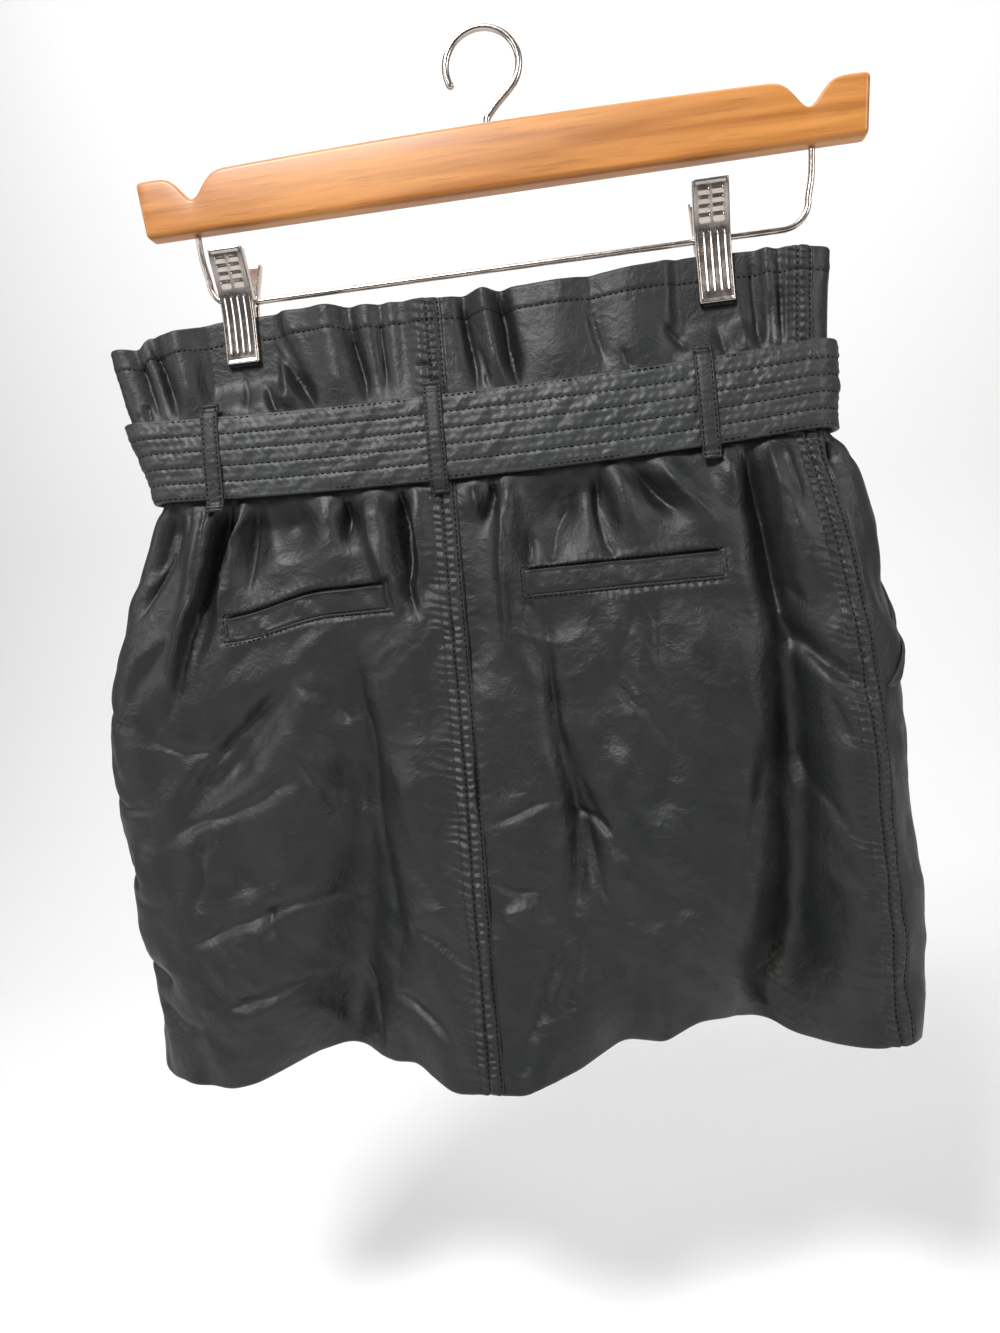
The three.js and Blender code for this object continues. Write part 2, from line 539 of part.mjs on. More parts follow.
// Each clip: two channel-shaped plates, a rubber pad in each jaw, and a spring round the bar.
function clip(name, clipX) {
  const half = PLATE.width / 2;
  for (const [label, side] of [['back', -1], ['front', 1]]) {
    const face = (j) => PLATE_FACE[j][1];
    const lip = (j) => Math.max(face(j) - PLATE.flange, PLATE.barClear);
    const at = (x, y, j) => new THREE.Vector3(clipX - side * x, side * y, BAR.z + PLATE_FACE[j][0]);
    const outer = (i, j) => at(i < 2 ? -half : half, i % 3 ? face(j) + PLATE.sheet : lip(j), j);
    const inside = half - PLATE.sheet;
    const inner = (i, j) => at(i < 2 ? -inside : inside, i % 3 ? face(j) : lip(j), j);
    add(`${name}_${label}`, closedSheet(3, PLATE_FACE.length - 1, outer, inner), CHROME);

    const padInner = SKIRT.wall + SKIRT.gap / 2 + PAD.clear;
    const padOuter = PLATE_FACE[PLATE_FACE.length - 1][1] - PAD.clear;
    const pad = new THREE.BoxGeometry(PAD.width, padOuter - padInner, PAD.top - PAD.bottom);
    const mesh = add(`${name}_pad_${label}`, pad, RUBBER);
    mesh.position.set(clipX, (side * (padInner + padOuter)) / 2, BAR.z + (PAD.top + PAD.bottom) / 2);
  }
  const bore = BAR.wire / 2 + SPRING.clear;
  const profile = [[bore, 0], [SPRING.outer, 0], [SPRING.outer, SPRING.length], [bore, SPRING.length], [bore, 0]];
  const ring = profile.map(([radius, along]) => new THREE.Vector2(radius, along - SPRING.length / 2));
  const spring = add(`${name}_spring`, new THREE.LatheGeometry(ring, SPRING.sides), CHROME);
  spring.rotation.z = Math.PI / 2;
  spring.position.set(clipX, 0, BAR.z);
}

skirtPanels();
welts();
pocketMouths();
belt();
beltLoops();
hook();
arm();
bar();
for (const [name, x] of Object.entries(CLIPS)) clip(name, x);

export default group;
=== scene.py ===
"""Leather mini skirt with a paperbag waist and a stitched belt, on a clip hanger: the looks.

Sizes are in millimetres, in the frame's own axes, and become metres where a mesh is made.
A place on the cloth is p and v: p runs round it from the centre back towards +X, and v runs
down it from the top edge.
"""
import math
from collections import namedtuple

import bpy
import numpy as np
from mathutils import Matrix, Vector


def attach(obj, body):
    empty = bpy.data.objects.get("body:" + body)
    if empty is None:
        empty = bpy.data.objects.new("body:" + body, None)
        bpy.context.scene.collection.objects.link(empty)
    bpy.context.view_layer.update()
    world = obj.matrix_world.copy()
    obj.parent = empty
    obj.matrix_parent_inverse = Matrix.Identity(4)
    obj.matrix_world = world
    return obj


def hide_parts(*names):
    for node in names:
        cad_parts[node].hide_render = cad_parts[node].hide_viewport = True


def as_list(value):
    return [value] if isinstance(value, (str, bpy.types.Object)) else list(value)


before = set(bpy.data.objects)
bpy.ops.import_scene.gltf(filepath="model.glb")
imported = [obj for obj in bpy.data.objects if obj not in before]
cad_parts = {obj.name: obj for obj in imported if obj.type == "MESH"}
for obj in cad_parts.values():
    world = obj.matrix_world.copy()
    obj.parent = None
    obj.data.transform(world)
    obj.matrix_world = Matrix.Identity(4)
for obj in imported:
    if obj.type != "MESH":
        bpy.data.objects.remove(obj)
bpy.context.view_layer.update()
MM = 0.001

# The skirt's form: these rows are the CAD solids' own.
CENTRE_BACK_X, TOP_Z, LENGTH, WALL, SEAM_GAP = -33.5, -140.0, 416.0, 1.4, 0.3
LEFT_SEAM_PAST_EDGE = 16
CornerDrop = namedtuple("CornerDrop", "start end depth fade")
CORNER_DROP = CornerDrop(-167, -175, 6, 60)
BELT_TOP, BELT_WIDTH, BELT_THICK, BELT_CLEAR = 48, 46, 3.0, 2.2
BELT_SAG, SAG_CENTRE, SAG_HALF = 6, 10, 185
LAP_START, LAP_END, LAP_RISE, LAP_RAMP = -24, 122, 3.4, 55
LOOP_WIDTH, LOOP_THICK, LOOP_BEYOND = 10, 1.5, 7
BACK_LOOPS = {"loop_back_left": -132.6, "loop_back_centre": -7.5, "loop_back_right": 135.3}
FRONT_LOOPS = {"loop_front_left": 85, "loop_front_right": -85}
WELT_TOP, WELT_FOOT, WELT_THICK = 152, 165, 1.3
WELTS = {"welt_left": (-132, -41), "welt_right": (33, 136)}
WELT_ROW = 1.6
WELT_DRAG = {"depth": 10.5, "start": 72, "full": 133, "fade": 155, "end": 215, "v": 160, "half": 30}
MOUTH_THICK, MOUTH_BED = 1.3, 0.7
POCKET_EDGE = [(108, 62), (150, 53), (190, 37), (214, 19), (229, 3)]

# By height v: silhouette left and right, half thickness, its centre's y, and the right seam's p.
OUTLINE = [
    (0, -192, 206, 8, 0, 196),
    (43, -184, 201, 10, 0, 192),
    (70, -175, 199, 12, 0, 191),
    (94, -169, 198, 13, 0, 191),
    (104, -175, 206, 15, 0, 192),
    (120, -182, 213, 18, 1, 195),
    (160, -200, 219, 25, 2, 201),
    (205, -212, 224, 31, 4, 205),
    (270, -213, 225, 35, 5, 207),
    (330, -209, 226, 37, 6, 208),
    (372, -202, 225, 38, 7, 208),
    (416, -203, 221, 38, 8, 208),
]
# The top edge isn't level: (x, rise). Nor is the back's lower edge: (p, drop).
TOP_RISE = [
    (-185, 1), (-165, 0), (-150, 0), (-129, 3.9), (-99, 4.5), (-81, 3.8), (-60, 3), (-45, 1.6),
    (-25, 0.8), (0, -1), (20, 0), (60, 0), (90, 1), (117, 3.2), (132, 5), (160, 4.4), (180, 3),
    (190, 1), (200, 0),
]
HEM_DROP = [
    (-235, 0), (-222, -1), (-210, -4), (-195, -1.5), (-180, -2.2), (-165, -1.6), (-150, 1.2),
    (-120, 0), (-90, -1.2), (-63, -2.9), (-49, -5), (-39, -0.5), (-27, 4), (-15, 3.6), (0, 2.9),
    (10, 3.3), (20, 1), (30, -0.8), (45, -4.2), (57, -5.6), (69, -9), (81, -13), (93, -16.2),
    (105, -18.6), (120, -12.8), (129, -7.7), (141, -1.7), (152, 2.8), (165, 0), (180, -5),
    (195, -6), (207, -4), (219, -1.6), (235, 0),
]
HEM_DROP_FROM, FOLD_LIFT = 260, 0.12

# Folds: each knot is (v, p, height, half width), and height is outward.
WAIST_BOW = [(0, 10, 2, 90), (70, 10, 5, 120), (130, 5, 3, 110), (180, 0, 0, 100)]
BACK_FOLDS = {
    "main_fold": [(97, 153, -2, 6), (126, 157, -11, 8), (156, 160, -16, 9),
                  (200, 163, -20, 11), (260, 165, -25, 14), (330, 160, -32, 18),
                  (380, 152, -40, 23), (416, 143, -47, 27)],
    "left_recess": [(150, -66, 0, 12), (190, -66, -8, 14), (250, -68, -15, 17), (310, -70, -20, 20),
                    (370, -82, -28, 27), (416, -98, -36, 32)],
    "left_diagonal": [(190, -98, 0, 9), (212, -110, -9, 11), (240, -133, -13, 13),
                      (262, -156, -10, 12), (285, -176, 0, 9)],
    "centre_ridge": [(240, 0, 0, 40), (320, 0, 8, 40), (416, 2, 20, 36)],
    "right_valley": [(168, 38, 0, 7), (216, 42, -5, 8), (290, 51, -8, 9), (340, 44, -4, 10),
                     (372, 40, 0, 10)],
    "hem_dip": [(330, 66, 0, 12), (380, 64, -5, 13), (416, 62, -14, 14)],
    "hem_bump": [(350, 84, 0, 9), (416, 85, 5, 9)],
    "side_swell": [(110, 178, 0, 16), (160, 186, 6, 18), (260, 190, 8, 20), (416, 190, 8, 22)],
    "side_crease": [(188, 164, 0, 6), (204, 174, -6, 7), (222, 192, -4, 7), (236, 200, 0, 6)],
    "left_swell": [(280, -150, 0, 34), (360, -150, 6, 34), (416, -150, 8, 34)],
}
# On the hidden front, p counts from the centre front.
FRONT_FOLDS = {
    "left_fold": [(150, -78, 0, 16), (230, -82, 7, 24), (320, -88, 14, 30), (416, -92, 18, 32)],
    "centre_fold": [(170, 6, 0, 14), (250, 4, -5, 18), (340, 2, -9, 24), (416, 0, -10, 28)],
    "right_fold": [(140, 84, 0, 16), (230, 88, 8, 26), (320, 94, 15, 30), (416, 98, 17, 32)],
    "side_dip": [(220, -146, 0, 14), (320, -148, -5, 18), (416, -150, -6, 20)],
}
# Gathers above the belt: (p at the top edge, p at the belt, height, half width).
TOP_GATHERS = [
    (-176, -163, -2.6, 4.4), (-166, -152, -3, 4.6), (-150, -143, 2.4, 6), (-136, -130, -2, 6),
    (-118, -112, -1.6, 4.4), (-103, -83, 3.6, 6), (-97, -72, -3.6, 5.4), (-64, -58, 2.4, 8),
    (-52, -43, -3.2, 5.2), (-34, -33, -2.4, 4.4), (-22, -22, -1.4, 5), (-8, -6, 1.4, 7),
    (12, 16, -2.8, 4.4), (24, 30, 3.4, 5), (32, 38, -3.6, 4.8), (62, 60, 1.6, 14),
    (80, 85, -1.2, 4.4), (101, 100, 1.6, 12), (133, 120, -2.6, 6), (147, 149, -3, 4.8),
    (157, 158, 3.4, 5), (166, 166, -3.6, 4.6), (179, 177, -2.6, 4.4), (190, 189, 1.4, 6),
]
# Gathers below the belt: (p at the belt, p at the foot, v of the foot, height, half width).
HIP_GATHERS = [
    (-157, -184, 165, -4.6, 6), (-146, -152, 150, 2.6, 4.6), (-135, -172, 216, 5.4, 5.4),
    (-126, -168, 216, -6, 6), (-119, -140, 168, 4, 5), (-111, -118, 152, -4.4, 6),
    (-91, -92, 132, -6.4, 11), (-73, -72, 152, 3.4, 9), (-60, -57, 130, -5, 6),
    (-44, -34, 172, 5.4, 7.4), (-31, -26, 170, -5, 4.6), (-22, -18, 150, 3, 4.6),
    (11, 12, 118, 3, 6), (20, 19, 128, -4, 4.6), (28, 20, 204, 5, 6), (60, 45, 150, -7, 11),
    (74, 83, 156, -5, 5.2), (86, 92, 150, 3, 7), (93, 124, 138, -4.2, 6), (111, 141, 150, 4, 8),
    (143, 148, 132, 3, 6), (167, 174, 182, 5, 8), (199, 201, 122, -4, 5),
]
FRONT_GATHERS = {"count": 18, "start": -170, "pitch": 20, "jitter": 7, "height": 3.4, "half": 6.5}
GOLDEN = 0.618034

# Sewing: rows beside a seam and in the top hem, and the pitch of a seam's puckers.
SEAM_ROWS, HEM_ROW, SEAM_PITCH = (1.3, 7.6), 12.3, 4.5
WELT_PITCH, SLIT_DEEP = 4.6, 1.7

# How much taller than in the tables the gathers, the creases near them and the others are.
GATHER_TALL, GATHER_GAIN, BODY_GAIN = 1.7, 2.5, 1.95
# Two of the folds are a little shallower than the solids' own.
FOLD_SHARES = {"left_diagonal": 0.6, "main_fold": 0.84}
# Creases of the back that show: depth (a ridge is positive), half width, path of (p, v).
Crease = namedtuple("Crease", "depth half path")


def creases(*rows):
    return [Crease(*row) for row in rows]


FRILL_CREASES = creases(
    (-1.2, 1.6, [(-175, 8), (-170, 26), (-163, 46)]),
    (-1.5, 2.0, [(-170, 36), (-169, 50)]),
    (-1.2, 1.6, [(-166, 8), (-158, 28), (-152, 46)]),
    (-1.0, 1.4, [(-118, 16), (-112, 46)]),
    (-2.0, 2.2, [(-103, 30), (-95, 50)]),
    (1.5, 2.6, [(-105, 27), (-85, 46)]),
    (-1.8, 2.0, [(-97, 11), (-84, 30), (-72, 50)]),
    (-1.4, 1.8, [(-52, 8), (-43, 46)]),
    (-1.0, 1.3, [(-34, 2), (-33, 40)]),
    (-1.0, 1.5, [(-15, 29), (-5, 32)]),
    (-1.4, 1.6, [(12, 0), (14, 26), (17, 50)]),
    (-1.2, 1.5, [(17, 21), (24, 50)]),
    (-2.2, 1.8, [(30, -4), (34, 24), (38, 50)]),
    (-0.8, 1.8, [(78, 8), (85, 42)]),
    (-1.0, 1.6, [(95, 36), (100, 50)]),
    (-1.4, 2.0, [(118, 26), (128, 42)]),
    (-1.4, 1.8, [(143, 26), (148, 50)]),
    (1.2, 2.4, [(158, 6), (159, 46)]),
    (-2.0, 1.8, [(165, 2), (166, 50)]),
    (-1.0, 1.3, [(172, 20), (172, 50)]),
    (-1.0, 1.3, [(178, 14), (176, 50)]),
)
HIP_CREASES = creases(
    (-1.6, 2.2, [(-157, 98), (-160, 121), (-170, 136), (-185, 161)]),
    (-1.0, 1.4, [(-150, 98), (-150, 113)]),
    (-1.4, 1.8, [(-141, 98), (-145, 136)]),
    (1.9, 2.6, [(-135, 104), (-148, 146), (-162, 176), (-170, 211)]),
    (-1.8, 1.8, [(-128, 112), (-140, 141), (-155, 171), (-168, 211)]),
    (-1.4, 1.8, [(-122, 102), (-135, 131)]),
    (1.2, 1.8, [(-118, 104), (-130, 126), (-138, 161)]),
    (-1.5, 2.0, [(-112, 100), (-118, 146)]),
    (-1.6, 1.8, [(-62, 98), (-60, 121)]),
    (2.2, 4.2, [(-50, 98), (-45, 126), (-35, 161)]),
    (-2.6, 1.8, [(-30, 98), (-28, 121), (-30, 146), (-25, 166)]),
    (1.4, 2.0, [(-24, 102), (-23, 128), (-24, 150), (-20, 165)]),
    (1.2, 2.2, [(10, 98), (11, 114)]),
    (-1.4, 1.6, [(20, 98), (22, 109)]),
    (1.8, 2.4, [(25, 98), (22, 146), (20, 196)]),
    (-1.6, 2.6, [(38, 124), (34, 150), (32, 168)]),
    (-1.0, 2.4, [(60, 110), (50, 130), (45, 148)]),
    (-1.0, 2.0, [(75, 98), (73, 121), (75, 136), (82, 151)]),
    (-0.8, 2.2, [(92, 98), (105, 114), (120, 126)]),
    (1.0, 2.4, [(110, 99), (120, 116), (135, 136)]),
    (-2.4, 2.4, [(153, 97), (157, 126), (160, 156), (163, 190)]),
    (1.2, 2.0, [(165, 98), (168, 127)]),
    (1.2, 2.0, [(173, 98), (176, 130)]),
    (-2.0, 2.4, [(198, 97), (199, 113)]),
)
BODY_CREASES = creases(
    (-1.8, 3.4, [(-108, 204), (-119, 214), (-148, 241), (-168, 265)]),
    (-1.0, 3.0, [(-177, 225), (-161, 235), (-135, 233)]),
    (-1.1, 3.6, [(-94, 201), (-80, 211), (-70, 225)]),
    (-1.3, 3.2, [(-170, 277), (-140, 268), (-118, 262), (-96, 248)]),
    (1.3, 11.0, [(-36, 118), (-31, 180), (-30, 250), (-26, 330)]),
    (-1.6, 4.0, [(-62, 189), (-58, 236), (-57, 296), (-52, 346), (-58, 383)]),
    (-1.6, 3.0, [(-155, 279), (-160, 306), (-165, 323)]),
    (-1.3, 3.0, [(-172, 340), (-150, 330), (-129, 325), (-107, 320), (-84, 320), (-68, 326)]),
    (0.5, 6.0, [(-160, 322), (-135, 317), (-115, 311), (-90, 308)]),
    (-1.4, 3.4, [(-153, 371), (-133, 366), (-108, 366), (-93, 358)]),
    (-2.0, 2.6, [(-76, 364), (-73, 389), (-68, 412)]),
    (1.4, 5.0, [(-52, 340), (-36, 327), (-20, 321)]),
    (-1.0, 3.8, [(-46, 334), (-23, 344), (-6, 354)]),
    (-1.3, 3.4, [(-62, 378), (-38, 382), (-22, 390)]),
    (0.8, 5.0, [(-145, 379), (-120, 372), (-95, 364)]),
    (-1.7, 6.5, [(152, 245), (138, 300), (126, 345), (118, 380)]),
    (-0.9, 2.4, [(52, 262), (60, 286), (70, 306), (84, 312)]),
    (-1.0, 2.0, [(-120, 321), (-122, 337)]),
    (-1.6, 3.0, [(-222, 203), (-200, 214), (-188, 219)]),
    (-1.6, 3.0, [(-225, 255), (-200, 262), (-184, 262)]),
    (-2.0, 3.5, [(-224, 350), (-196, 358), (-178, 361)]),
    (-1.3, 3.0, [(-222, 298), (-196, 307)]),
    (-1.0, 2.4, [(165, 169), (175, 183)]),
    (-1.2, 3.4, [(168, 194), (185, 216), (196, 225)]),
    (-1.4, 2.6, [(180, 229), (190, 258)]),
    (-1.6, 3.4, [(40, 174), (43, 236), (50, 286), (48, 316), (40, 348)]),
    (-0.8, 2.4, [(100, 179), (97, 213)]),
    (-0.9, 3.0, [(80, 209), (95, 236), (105, 258)]),
    (-1.3, 2.6, [(54, 284), (58, 316), (67, 342), (80, 350)]),
    (0.8, 4.0, [(62, 286), (68, 312), (78, 334)]),
    (-1.3, 2.4, [(4, 282), (25, 276), (43, 271)]),
    (-1.2, 2.2, [(4, 312), (15, 318), (31, 321)]),
    (1.5, 3.2, [(7, 328), (26, 326)]),
    (-1.3, 3.0, [(165, 256), (175, 281), (190, 308)]),
    (-1.1, 2.6, [(-100, 236), (-86, 262), (-80, 290)]),
    (-1.0, 2.8, [(-196, 372), (-176, 384), (-160, 386)]),
    (-1.0, 2.6, [(100, 352), (112, 372), (116, 396)]),
    (-1.5, 2.2, [(48, 280), (58, 286), (67, 296)]),
    (-1.5, 2.6, [(77, 214), (82, 225), (93, 233)]),
    (-1.0, 4.0, [(86, 178), (81, 201), (84, 222)]),
    (-1.7, 5.0, [(37, 345), (24, 372), (10, 403)]),
    (-1.2, 4.0, [(46, 342), (42, 364), (34, 387)]),
    (-0.7, 3.4, [(167, 178), (168, 215), (171, 247), (169, 288), (162, 355)]),
)

# Hanger sizes. x values are from the hook.
HOOK_WIRE, HOOK_INNER, HOOK_TIP, HOOK_TURN = 4.0, 18, 205, -35
ARM_HALF, ARM_LEAN, ARM_TOP, ARM_BOTTOM, ARM_END_TOP, ARM_THICK = 200, 4, -50, -86, -54, 12
ARM_ROUND = 3.0
NOTCH_X, NOTCH_DEPTH, NOTCH_HALF = 168, 14, 9
BAR_Z, BAR_WIRE, BAR_HALF, BAR_TOP_HALF, BAR_CORNER = -126.7, 3.4, 164, 168, 14
CLIPS = {"clip_left": -147.6, "clip_right": 113}
PLATE_WIDTH, PLATE_SHEET, PLATE_FLANGE, BAR_CLEAR = 19, 1.0, 4.5, 2.1
PLATE_FACE = [(25, 17), (22, 16), (8, 8.8), (0, 5.6), (-12, 3.9), (-34, 3.75)]
PLATE_BEND = 1.3
PAD_WIDTH, PAD_TOP, PAD_BOTTOM = 15.8, -15.5, -35.5
SPRING_TURNS, SPRING_RADIUS, SPRING_WIRE, SPRING_LENGTH = 11, 3.35, 1.1, 12.8
PINCH_FULL, PINCH_NONE, PINCH_FULL_V, PINCH_NONE_V = 18, 27, 30, 48

# The camera, from the photo: its height and focal length in pixels, and where it looks.
IMAGE_H, FOCAL_PX = 1333, 1050
AIM, DISTANCE = (-18.5, -20.0, -341.3), 560.0
YAW, PITCH, ROLL = 7.0, 2.0, 5.4


def smooth(start, end, x):
    t = np.clip((x - start) / (end - start), 0, 1)
    return t * t * (3 - 2 * t)


def within(x, rise, fall):
    """1 between two stretches of x, 0 outside them."""
    return smooth(*rise, x) * (1 - smooth(*fall, x))


def bump(distance, half):
    return np.exp(-((distance / half) ** 2))


def unit(vectors):
    return vectors / np.linalg.norm(vectors, axis=-1, keepdims=True)


def arc(centre, radius, start, end, count):
    """Points of an arc in a plane, from one angle to another in degrees."""
    return [(centre[0] + radius * math.cos(turn), centre[1] + radius * math.sin(turn))
            for turn in np.radians(np.linspace(start, end, count))]


def alike(*values):
    """The values as float arrays of one shape."""
    return np.broadcast_arrays(*(np.asarray(value, float) for value in values))


def through(knots, at):
    """A smooth curve through the knots (at, value), level beyond its ends."""
    xs, ys = (np.array(column, float) for column in zip(*sorted(knots)))
    last = len(xs) - 1
    before = np.maximum(np.arange(last + 1) - 1, 0)
    after = np.minimum(np.arange(last + 1) + 1, last)
    slope = (ys[after] - ys[before]) / (xs[after] - xs[before])
    i = np.clip(np.searchsorted(xs, at, side="right") - 1, 0, last - 1)
    span = xs[i + 1] - xs[i]
    t = np.clip((at - xs[i]) / span, 0, 1)
    start = ys[i] * (1 + 2 * t) * (1 - t) ** 2 + slope[i] * span * t * (1 - t) ** 2
    return start + ys[i + 1] * t * t * (3 - 2 * t) + slope[i + 1] * span * t * t * (t - 1)


class Section:
    """The hollow form's sizes at each height v: a flat back and front joined by round sides."""

    def __init__(self, v):
        v = np.asarray(v, float)
        left, right, depth, mid, seam = (
            through([(row[0], row[k]) for row in OUTLINE], v) for k in range(1, 6)
        )
        self.depth, self.mid, self.seam = depth, mid, seam
        self.to_right = right - depth
        self.to_left = -left - depth
        self.end = math.pi * depth
        self.girth = 2 * (self.to_right + self.to_left + self.end)
        self.left_seam = -(self.to_left + self.end / 2 + LEFT_SEAM_PAST_EDGE)

    def point(self, p, offset=0.0):
        """x, y and the outward normal at p, grown outward by offset."""
        at = np.mod(p, self.girth)
        r = self.depth + offset
        flat = self.to_right + self.to_left
        ends = [self.to_right, self.to_right + self.end, self.to_right + self.end + flat,
                self.to_right + 2 * self.end + flat]
        where = [at <= ends[0], at <= ends[1], at <= ends[2], at <= ends[3]]
        zero = np.zeros_like(at)
        turn = np.select(where, [zero, (at - ends[0]) / self.depth, zero + math.pi,
                                 math.pi + (at - ends[2]) / self.depth], zero)
        centre = np.select(where, [at, self.to_right + zero, 2 * self.to_right + self.end - at,
                                   -self.to_left + zero], at - self.girth)
        nx, ny = np.sin(turn), -np.cos(turn)
        return centre + r * nx, self.mid + r * ny, nx, ny


WAIST = Section(BELT_TOP + BELT_WIDTH / 2)


def sag_at(section, p):
    x = WAIST.point(p / section.girth * WAIST.girth)[0]
    return BELT_SAG * np.maximum(0, 1 - ((x - SAG_CENTRE) / SAG_HALF) ** 2)


def fold_height(knots, p, v):
    first, last = knots[0][0], knots[-1][0]
    at, height, half = (through([(k[0], k[i]) for k in knots], v) for i in (1, 2, 3))
    fade = within(v, (first - 20, first), (last, last + 20))
    return fade * height * bump(p - at, half)


def top_gather(p_top, p_belt, height, half, p, v):
    at = p_top + (p_belt - p_top) * np.clip(v / BELT_TOP, 0, 1.3)
    press = 1 - 0.8 * smooth(30, 50, v) - 0.2 * smooth(62, 84, v)
    return press * height * bump(p - at, half)


def hip_gather(p_belt, p_foot, v_foot, height, half, p, v):
    v_belt = BELT_TOP + BELT_WIDTH + 3
    t = np.clip((v - v_belt) / (v_foot - v_belt), 0, 1)
    at = p_belt + (p_foot - p_belt) * t
    rise = 0.15 * smooth(66, 90, v) + 0.85 * smooth(93, 110, v)
    return rise * (1 - smooth(0.35, 1, t)) * height * bump(p - at, half * (1 + 0.6 * t))


def front_gathers():
    """The front's gathers alternate in and out, uneven in place, height and length."""
    row = FRONT_GATHERS
    for i in range(row["count"]):
        shares = [(i * GOLDEN * k) % 1 for k in (1, 3, 5, 7)]
        at = row["start"] + i * row["pitch"] + row["jitter"] * (shares[0] - 0.5)
        height = (1 if i % 2 else -1) * row["height"] * (0.6 + 0.6 * shares[1])
        yield at, height, 130 + 70 * shares[2], row["half"] * (0.9 + 0.4 * shares[3])


def bow_height(back, front, v):
    return fold_height(WAIST_BOW, back, v) + fold_height(WAIST_BOW, front, v)


def sides(section, p):
    """p wrapped once round, and as the back's and the front's own p."""
    at = np.mod(p, section.girth)
    return at, np.where(at > section.girth / 2, at - section.girth, at), at - section.girth / 2


def fold_form(section, p, v):
    """How far the cloth stands outside the plain section, with its large folds and gathers."""
    at, back, front = sides(section, p)
    u = v - sag_at(section, at)
    height = bow_height(back, front, v)
    height = height + sum(FOLD_SHARES.get(name, 1) * fold_height(knots, back, v)
                          for name, knots in BACK_FOLDS.items())
    height = height + sum(fold_height(knots, front, v) for knots in FRONT_FOLDS.values())
    gathered = sum(top_gather(*row, back, u) for row in TOP_GATHERS)
    gathered = gathered + sum(hip_gather(*row, back, u) for row in HIP_GATHERS)
    for at_front, tall, foot, half in front_gathers():
        gathered = gathered + top_gather(at_front, at_front, tall, half, front, u)
        gathered = gathered + hip_gather(at_front, at_front, foot, tall, half, front, u)
    return height + GATHER_TALL * gathered


def ripple(a, b, size_a, size_b, seed):
    """Smooth seeded noise between -1 and 1."""
    table = np.random.default_rng(seed).uniform(-1, 1, (251, 251))
    fa, fb = a / size_a + 90, b / size_b + 90
    ia, ib = np.floor(fa).astype(int), np.floor(fb).astype(int)
    ta, tb = fa - ia, fb - ib
    ta, tb = ta * ta * (3 - 2 * ta), tb * tb * (3 - 2 * tb)

    def cell(i, j):
        return table[i % 251, j % 251]

    near = cell(ia, ib) * (1 - ta) + cell(ia + 1, ib) * ta
    far = cell(ia, ib + 1) * (1 - ta) + cell(ia + 1, ib + 1) * ta
    return near * (1 - tb) + far * tb


# A ripple's size across and down, its height, the slant of its grain, and its seed.
Ripple = namedtuple("Ripple", "across down tall slant seed")


def ripples(rows, a, b):
    return sum(row.tall * ripple(a + row.slant * b, b, row.across, row.down, row.seed)
               for row in rows)


def crease_height(crease, p, v, crisp=0.55):
    """A soft trough or ridge along a path, tapering to its ends. crisp is how sharp its line is."""
    path = np.array(crease.path, float)
    reach = 3.2 * crease.half
    low, high = path.min(0) - reach, path.max(0) + reach
    near = (p > low[0]) & (p < high[0]) & (v > low[1]) & (v < high[1])
    height = np.zeros_like(p)
    if not near.any():
        return height
    q = np.stack([p[near], v[near]], -1)
    steps = path[1:] - path[:-1]
    lengths = np.linalg.norm(steps, axis=1)
    total = lengths.sum()
    best = np.full(len(q), 1e9)
    along = np.zeros(len(q))
    for start, step, length, before in zip(path, steps, lengths, np.cumsum(lengths) - lengths):
        t = np.clip((q - start) @ step / length**2, 0, 1)
        away = np.linalg.norm(q - start - t[:, None] * step, axis=1)
        closer = away < best
        best = np.where(closer, away, best)
        along = np.where(closer, (before + t * length) / total, along)
    taper = within(along, (-0.05, 0.22), (0.7, 1.05))
    half = crease.half * (0.8 + 0.5 * along)
    profile = (1 - crisp) * bump(best, half) + crisp * np.exp(-1.5 * best / half)
    height[near] = crease.depth * taper * profile
    return height


def hidden_creases():
    """The front's creases: the back's, mirrored, moved and uneven."""
    for i, crease in enumerate(FRILL_CREASES + HIP_CREASES + BODY_CREASES):
        if i % 4 == 3:
            continue
        shift = 9 * math.sin(2.4 * i)
        drop = 5 * math.sin(1.7 * i)
        path = [(shift - p * 0.92, v + (drop if v > 130 else 0)) for p, v in crease.path]
        yield Crease(crease.depth * (0.75 + 0.2 * math.cos(3.1 * i)), crease.half, path)


# Crushed leather, in three sizes: the size of its cells, height and seed.
CRUSHES = [(34, 1.3, 3), (19, 0.6, 5), (9, 0.2, 7)]


def crumple(p, v):
    """Thin soft ridges and troughs where the leather has been crushed, here more and there less."""
    height = 0
    for size, tall, seed in CRUSHES:
        lean, other = p + 0.5 * v, v - 0.35 * p
        line = 1 - np.abs(ripple(lean, other, size, 0.8 * size, seed))
        crossing = 1 - np.abs(ripple(p - 0.4 * v, v, 0.9 * size, 1.1 * size, seed + 100))
        height = height + tall * (line**3 - 0.8 * crossing**3)
    share = 0.45 + 0.55 * ripple(p, v, 70, 60, 9)
    return height * share * (0.4 + 0.6 * smooth(140, 220, v))


def welt_drag(p, v):
    """How far the left welt's outer end is dragged down."""
    drag = WELT_DRAG
    share = within(-p, (drag["start"], drag["full"]), (drag["fade"], drag["end"]))
    return drag["depth"] * share * bump(v - drag["v"], drag["half"])


def puckers(along, pitch, seed):
    """Uneven gathers along a line of sewing, between 0 and 1."""
    bent = along + 0.3 * pitch * ripple(along, along * 0, 2.2 * pitch, 1, seed)
    strength = 0.72 + 0.28 * ripple(along, along * 0, 2.7 * pitch, 1, seed + 1)
    return strength * (0.5 + 0.5 * np.cos(2 * math.pi * bent / pitch)) ** 0.8


